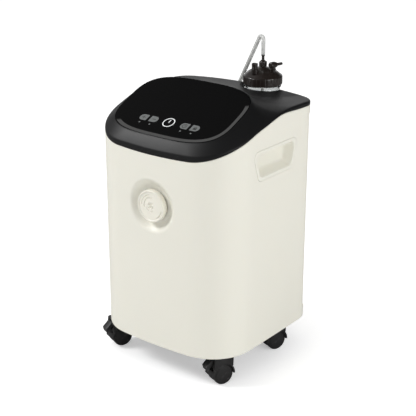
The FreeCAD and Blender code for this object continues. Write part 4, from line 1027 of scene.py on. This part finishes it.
def patient_outlet():
    """Elbow: a fat barrel lying across a short ribbed leg, with a barbed nozzle."""
    ahead = (math.sin(NOZZLE_TURN), math.cos(NOZZLE_TURN), 0)
    barrel = [(0, -7), (4.6, -7), (5.6, -6.4), (6.2, -5.2), (6.4, -2), (6.3, 3), (5.9, 5.6), (4.9, 6.8),
              (4.6, 8.8), (2.9, 9.2)]
    for k in range(4):
        barrel += [(2.98, 10.4 + 3.2 * k), (2.5, 13 + 3.2 * k)]
    barrel += [(2.3, 23), (1.5, 23), (1.5, 14), (0, 14)]
    piece = turned("patient_nozzle", barrel, (NOZZLE_X, NOOK_Y, NOZZLE_Z), 0.4, 48, ahead)
    leg = [(0, 538.5), (4.8, 538.5), (4.8, 543.9), (6.6, 544.4), (6.6, 545.6), (4.8, 546.2),
           (4.8, NOZZLE_Z), (0, NOZZLE_Z)]
    return carve(piece, turned("t9", leg, (NOZZLE_X, NOOK_Y, 0), 0.3, 64), "UNION")


finish(patient_outlet(), "casing", BROWN, "brown_plastic", "patient_outlet")


# ---- Clear hose ----

OUTLET_X, OUTLET_Z = -45.0, 452.0


def hose_material():
    """Milky soft vinyl, with painted shade: darker along its edges, where the wall is seen end on."""
    material, tree, shader, place = node_material("clear_hose")
    facing = add(tree, "LayerWeight", Blend=0.45)["Facing"]
    # Painted shade: the base colour darkens towards the edges, as the surface turns from the camera.
    put(shader, Base_Color=mixed(tree, facing, (0.95, 0.955, 0.94), (0.76, 0.77, 0.75)),
        Roughness=ranged(tree, noise(tree, place, 130), 0.16, 0.32), Transmission_Weight=0.4, IOR=1.3,
        Alpha=0.85)
    return material


def oxygen_hose():
    """Over the cap's barbs in a tight bend, then down behind the lid to the outlet elbow."""
    end = HALF_D + 13
    path = rounded_run([(NOOK_X, NOOK_Y, STEM_TOP), (NOOK_X, NOOK_Y, HOSE_PEAK),
                        (OUTLET_X, end, OUTLET_Z + 30), (OUTLET_X, end, OUTLET_Z + 11)], HOSE_BENDS)
    shares = [k / 150 for k in range(1, 150)]
    rings = [(0, HOSE_R - 0.2)] + [(s, HOSE_R) for s in shares] + [(1, HOSE_R - 0.2), (1, HOSE_BORE_R)]
    rings += [(s, HOSE_BORE_R) for s in reversed(shares)] + [(0, HOSE_BORE_R)]
    return swept("oxygen_hose_clear", path, rings)


finish(oxygen_hose(), "casing", hose_material(), "clear_hose", "oxygen_hose")


# ---- Casters ----

WHEEL_R, WHEEL_W, WEB_HALF, TRAIL, AXLE_R = 20.0, 11.0, 3.0, 14.0, 3.0
CASTER_HEADING = math.radians(248.3)    # all four trail the same way
CORNERS = (("fl", -126.0, -88.0), ("fr", 126.0, -88.0), ("rl", -126.0, 88.0), ("rr", 126.0, 88.0))


def caster_wheels(tag, x, y):
    """A pair of moulded wheels: crowned tread, rim ring, groove and a slightly domed disc."""
    turn = Matrix.Rotation(CASTER_HEADING, 3, "Z")
    profile = [(AXLE_R, 0.1), (WHEEL_R - 1.2, 0.1), (WHEEL_R - 0.35, 0.5), (WHEEL_R - 0.05, 1.6),
               (WHEEL_R, WHEEL_W / 2)]
    profile += [(WHEEL_R - inset, WHEEL_W - deep)
                for inset, deep in ((0.05, 2.4), (0.6, 1.2), (1.6, 0.7), (2.5, 0.6), (2.8, 1.3),
                                    (3.4, 1.3), (3.8, 0.5), (8, -0.05), (13, -0.4))]
    profile += [(0.0, WHEEL_W + 0.55), (0.0, 8.5), (AXLE_R, 8.5)]
    points = softened(profile, 0.4, 3)
    verts, faces, turns = [], [], full_turn(72)
    for side in (-1, 1):
        faces += ring_faces(len(turns), len(points), True, len(verts))
        for a in turns:
            for r, h in points:
                spot = turn @ Vector((TRAIL + r * math.cos(a), side * (WEB_HALF + 0.5 + h), r * math.sin(a)))
                verts.append((spot.x + x, spot.y + y, spot.z + WHEEL_R))
    return merge_close(mesh_object("wheels_" + tag, verts, faces))


for tag, x, y in CORNERS:
    finish(caster_wheels(tag, x, y), "wheels_" + tag, CASTER, "caster_tread", "caster_wheels_" + tag)
    finish_cad("caster_housing_" + tag, CASTER, 0.8, 3)
    finish_cad("caster_axle_" + tag, STEEL, 0.3)
for tag in ("fl", "fr"):
    finish_cad("brake_lever_" + tag, CASTER, 0.6, 3)


# ---- CAD nodes that keep their shape ----

FINISHES = (                    # material, width of the rounded edges, nodes
    (WHITE, 0.8, ("rear_cover", "filter_door")),
    (BLACK, 0.5, ("base_tray", "power_inlet", "power_rocker", "breaker_body", "oxygen_outlet", "bottle_tray",
                  "exhaust_muffler")),
    (PALE, 0.4, ("breaker_button", "bacteria_filter", "valve_manifold", "diffuser_tube", "flow_valve",
                 "cooling_fan_rotor")),
    (RUBBER, 0.3, ("cap_gasket", "isolation_mounts", "internal_hoses")),
    (FOAM, 1.5, ("intake_filter",)),
    (BOARD, 0.2, ("main_board", "display_board")),
    (ZINC, 0.3, ("case_screws", "caster_screws", "caster_plates", "compressor_deck")),
    (STEEL, 0.3, ("valve_spindle", "compressor_shaft")),
    (ALUMINIUM, 1.0, ("compressor_body", "compressor_heads", "sieve_beds", "oxygen_tank")),
    (COPPER, 0.2, ("heat_exchanger",)),
    (BLACK, 0.4, ("cooling_fan_frame",)),
)
for material, width, nodes in FINISHES:
    for node in nodes:
        finish_cad(node, material, width)


# ---- Stage, light and camera ----

ROOM_SEEN = 1.0                   # the room as the camera sees it
ROOM_FILL = 0.60                  # the room as a light, all round
GLOSS_DARK = 0.015                # the room in reflections, away from its two windows
WINDOWS = (                       # direction, strength and the cosines where each starts and is full
    ((-0.75, -0.55, 0.35), 0.30, 0.25, 0.95),
    ((-0.62, 0.78, 0.10), 0.85, 0.82, 1.0),
)


def seen_directly(tree, path):
    """1 for what the camera sees, straight or through clear plastic."""
    return maths(tree, "MAXIMUM", path["Is Camera Ray"], path["Is Transmission Ray"])


def stage():
    """A pale floor, lit from within for the camera only and dim in reflections."""
    size = 40
    mesh = bpy.data.meshes.new("ground")
    mesh.from_pydata([(-size, -size, 0), (size, -size, 0), (size, size, 0), (-size, size, 0)], [],
                     [(0, 1, 2, 3)])
    ground = bpy.data.objects.new("ground", mesh)
    bpy.context.scene.collection.objects.link(ground)
    material, tree, shader, place = node_material("pale_floor")
    path = add(tree, "LightPath")
    put(shader, Roughness=0.8, Specular_IOR_Level=0.2, Emission_Color=(1, 1, 1),
        Base_Color=mixed(tree, path["Is Glossy Ray"], (0.97, 0.97, 0.97), (0.30, 0.30, 0.30)),
        Emission_Strength=maths(tree, "MULTIPLY", seen_directly(tree, path), 0.38))
    apply_material(ground, material)


def soft_light(name, place, target, size, power, gloss):
    light = bpy.data.lights.new(name, "AREA")
    light.energy = power
    light.size = size
    light.specular_factor = gloss
    holder = bpy.data.objects.new(name, light)
    holder.location = place
    holder.rotation_euler = (Vector(target) - Vector(place)).to_track_quat("-Z", "Y").to_euler()
    bpy.context.scene.collection.objects.link(holder)


def world():
    """A white room; glossy parts see it dark, with a soft window at the front left and one behind."""
    room = bpy.data.worlds.new("studio")
    bpy.context.scene.world = room
    room.use_nodes = True
    tree = room.node_tree
    path, place = add(tree, "LightPath"), add(tree, "TexCoord")["Generated"]
    shine = GLOSS_DARK
    for direction, power, start, full in WINDOWS:
        towards = maths(tree, "DOT_PRODUCT", place, Vector(direction).normalized(), kind="VectorMath")
        shine = maths(tree, "ADD", shine, ranged(tree, towards, 0, power, start, full, "SMOOTHSTEP"))
    lit = mixed(tree, seen_directly(tree, path), ROOM_FILL, ROOM_SEEN, "FLOAT")
    strength = mixed(tree, path["Is Glossy Ray"], lit, shine, "FLOAT")
    put(tree.nodes["Background"], Color=(1, 1, 1), Strength=strength)


def camera():
    """The photo's viewpoint."""
    azimuth, elevation, distance = math.radians(37.9), math.radians(21.05), 2.126
    back = Vector((math.sin(azimuth) * math.cos(elevation), -math.cos(azimuth) * math.cos(elevation),
                   math.sin(elevation)))
    lens = bpy.data.cameras.new("camera")
    lens.sensor_width = 36
    lens.lens = 95.25
    lens.shift_x = 0.0132
    lens.shift_y = 0.0093
    holder = bpy.data.objects.new("camera", lens)
    holder.location = Vector((0, 0, 0.284)) + back * distance
    holder.rotation_euler = (-back).to_track_quat("-Z", "Y").to_euler()
    bpy.context.scene.collection.objects.link(holder)
    bpy.context.scene.camera = holder


stage()
world()
soft_light("key", (-2.3, -1.8, 2.7), (0, 0, 0.3), 1.1, 68, 0.15)
soft_light("fill", (3.0, -0.3, 1.3), (0, 0, 0.3), 1.8, 33, 0.1)
camera()
bpy.context.scene.view_settings.view_transform = "Standard"
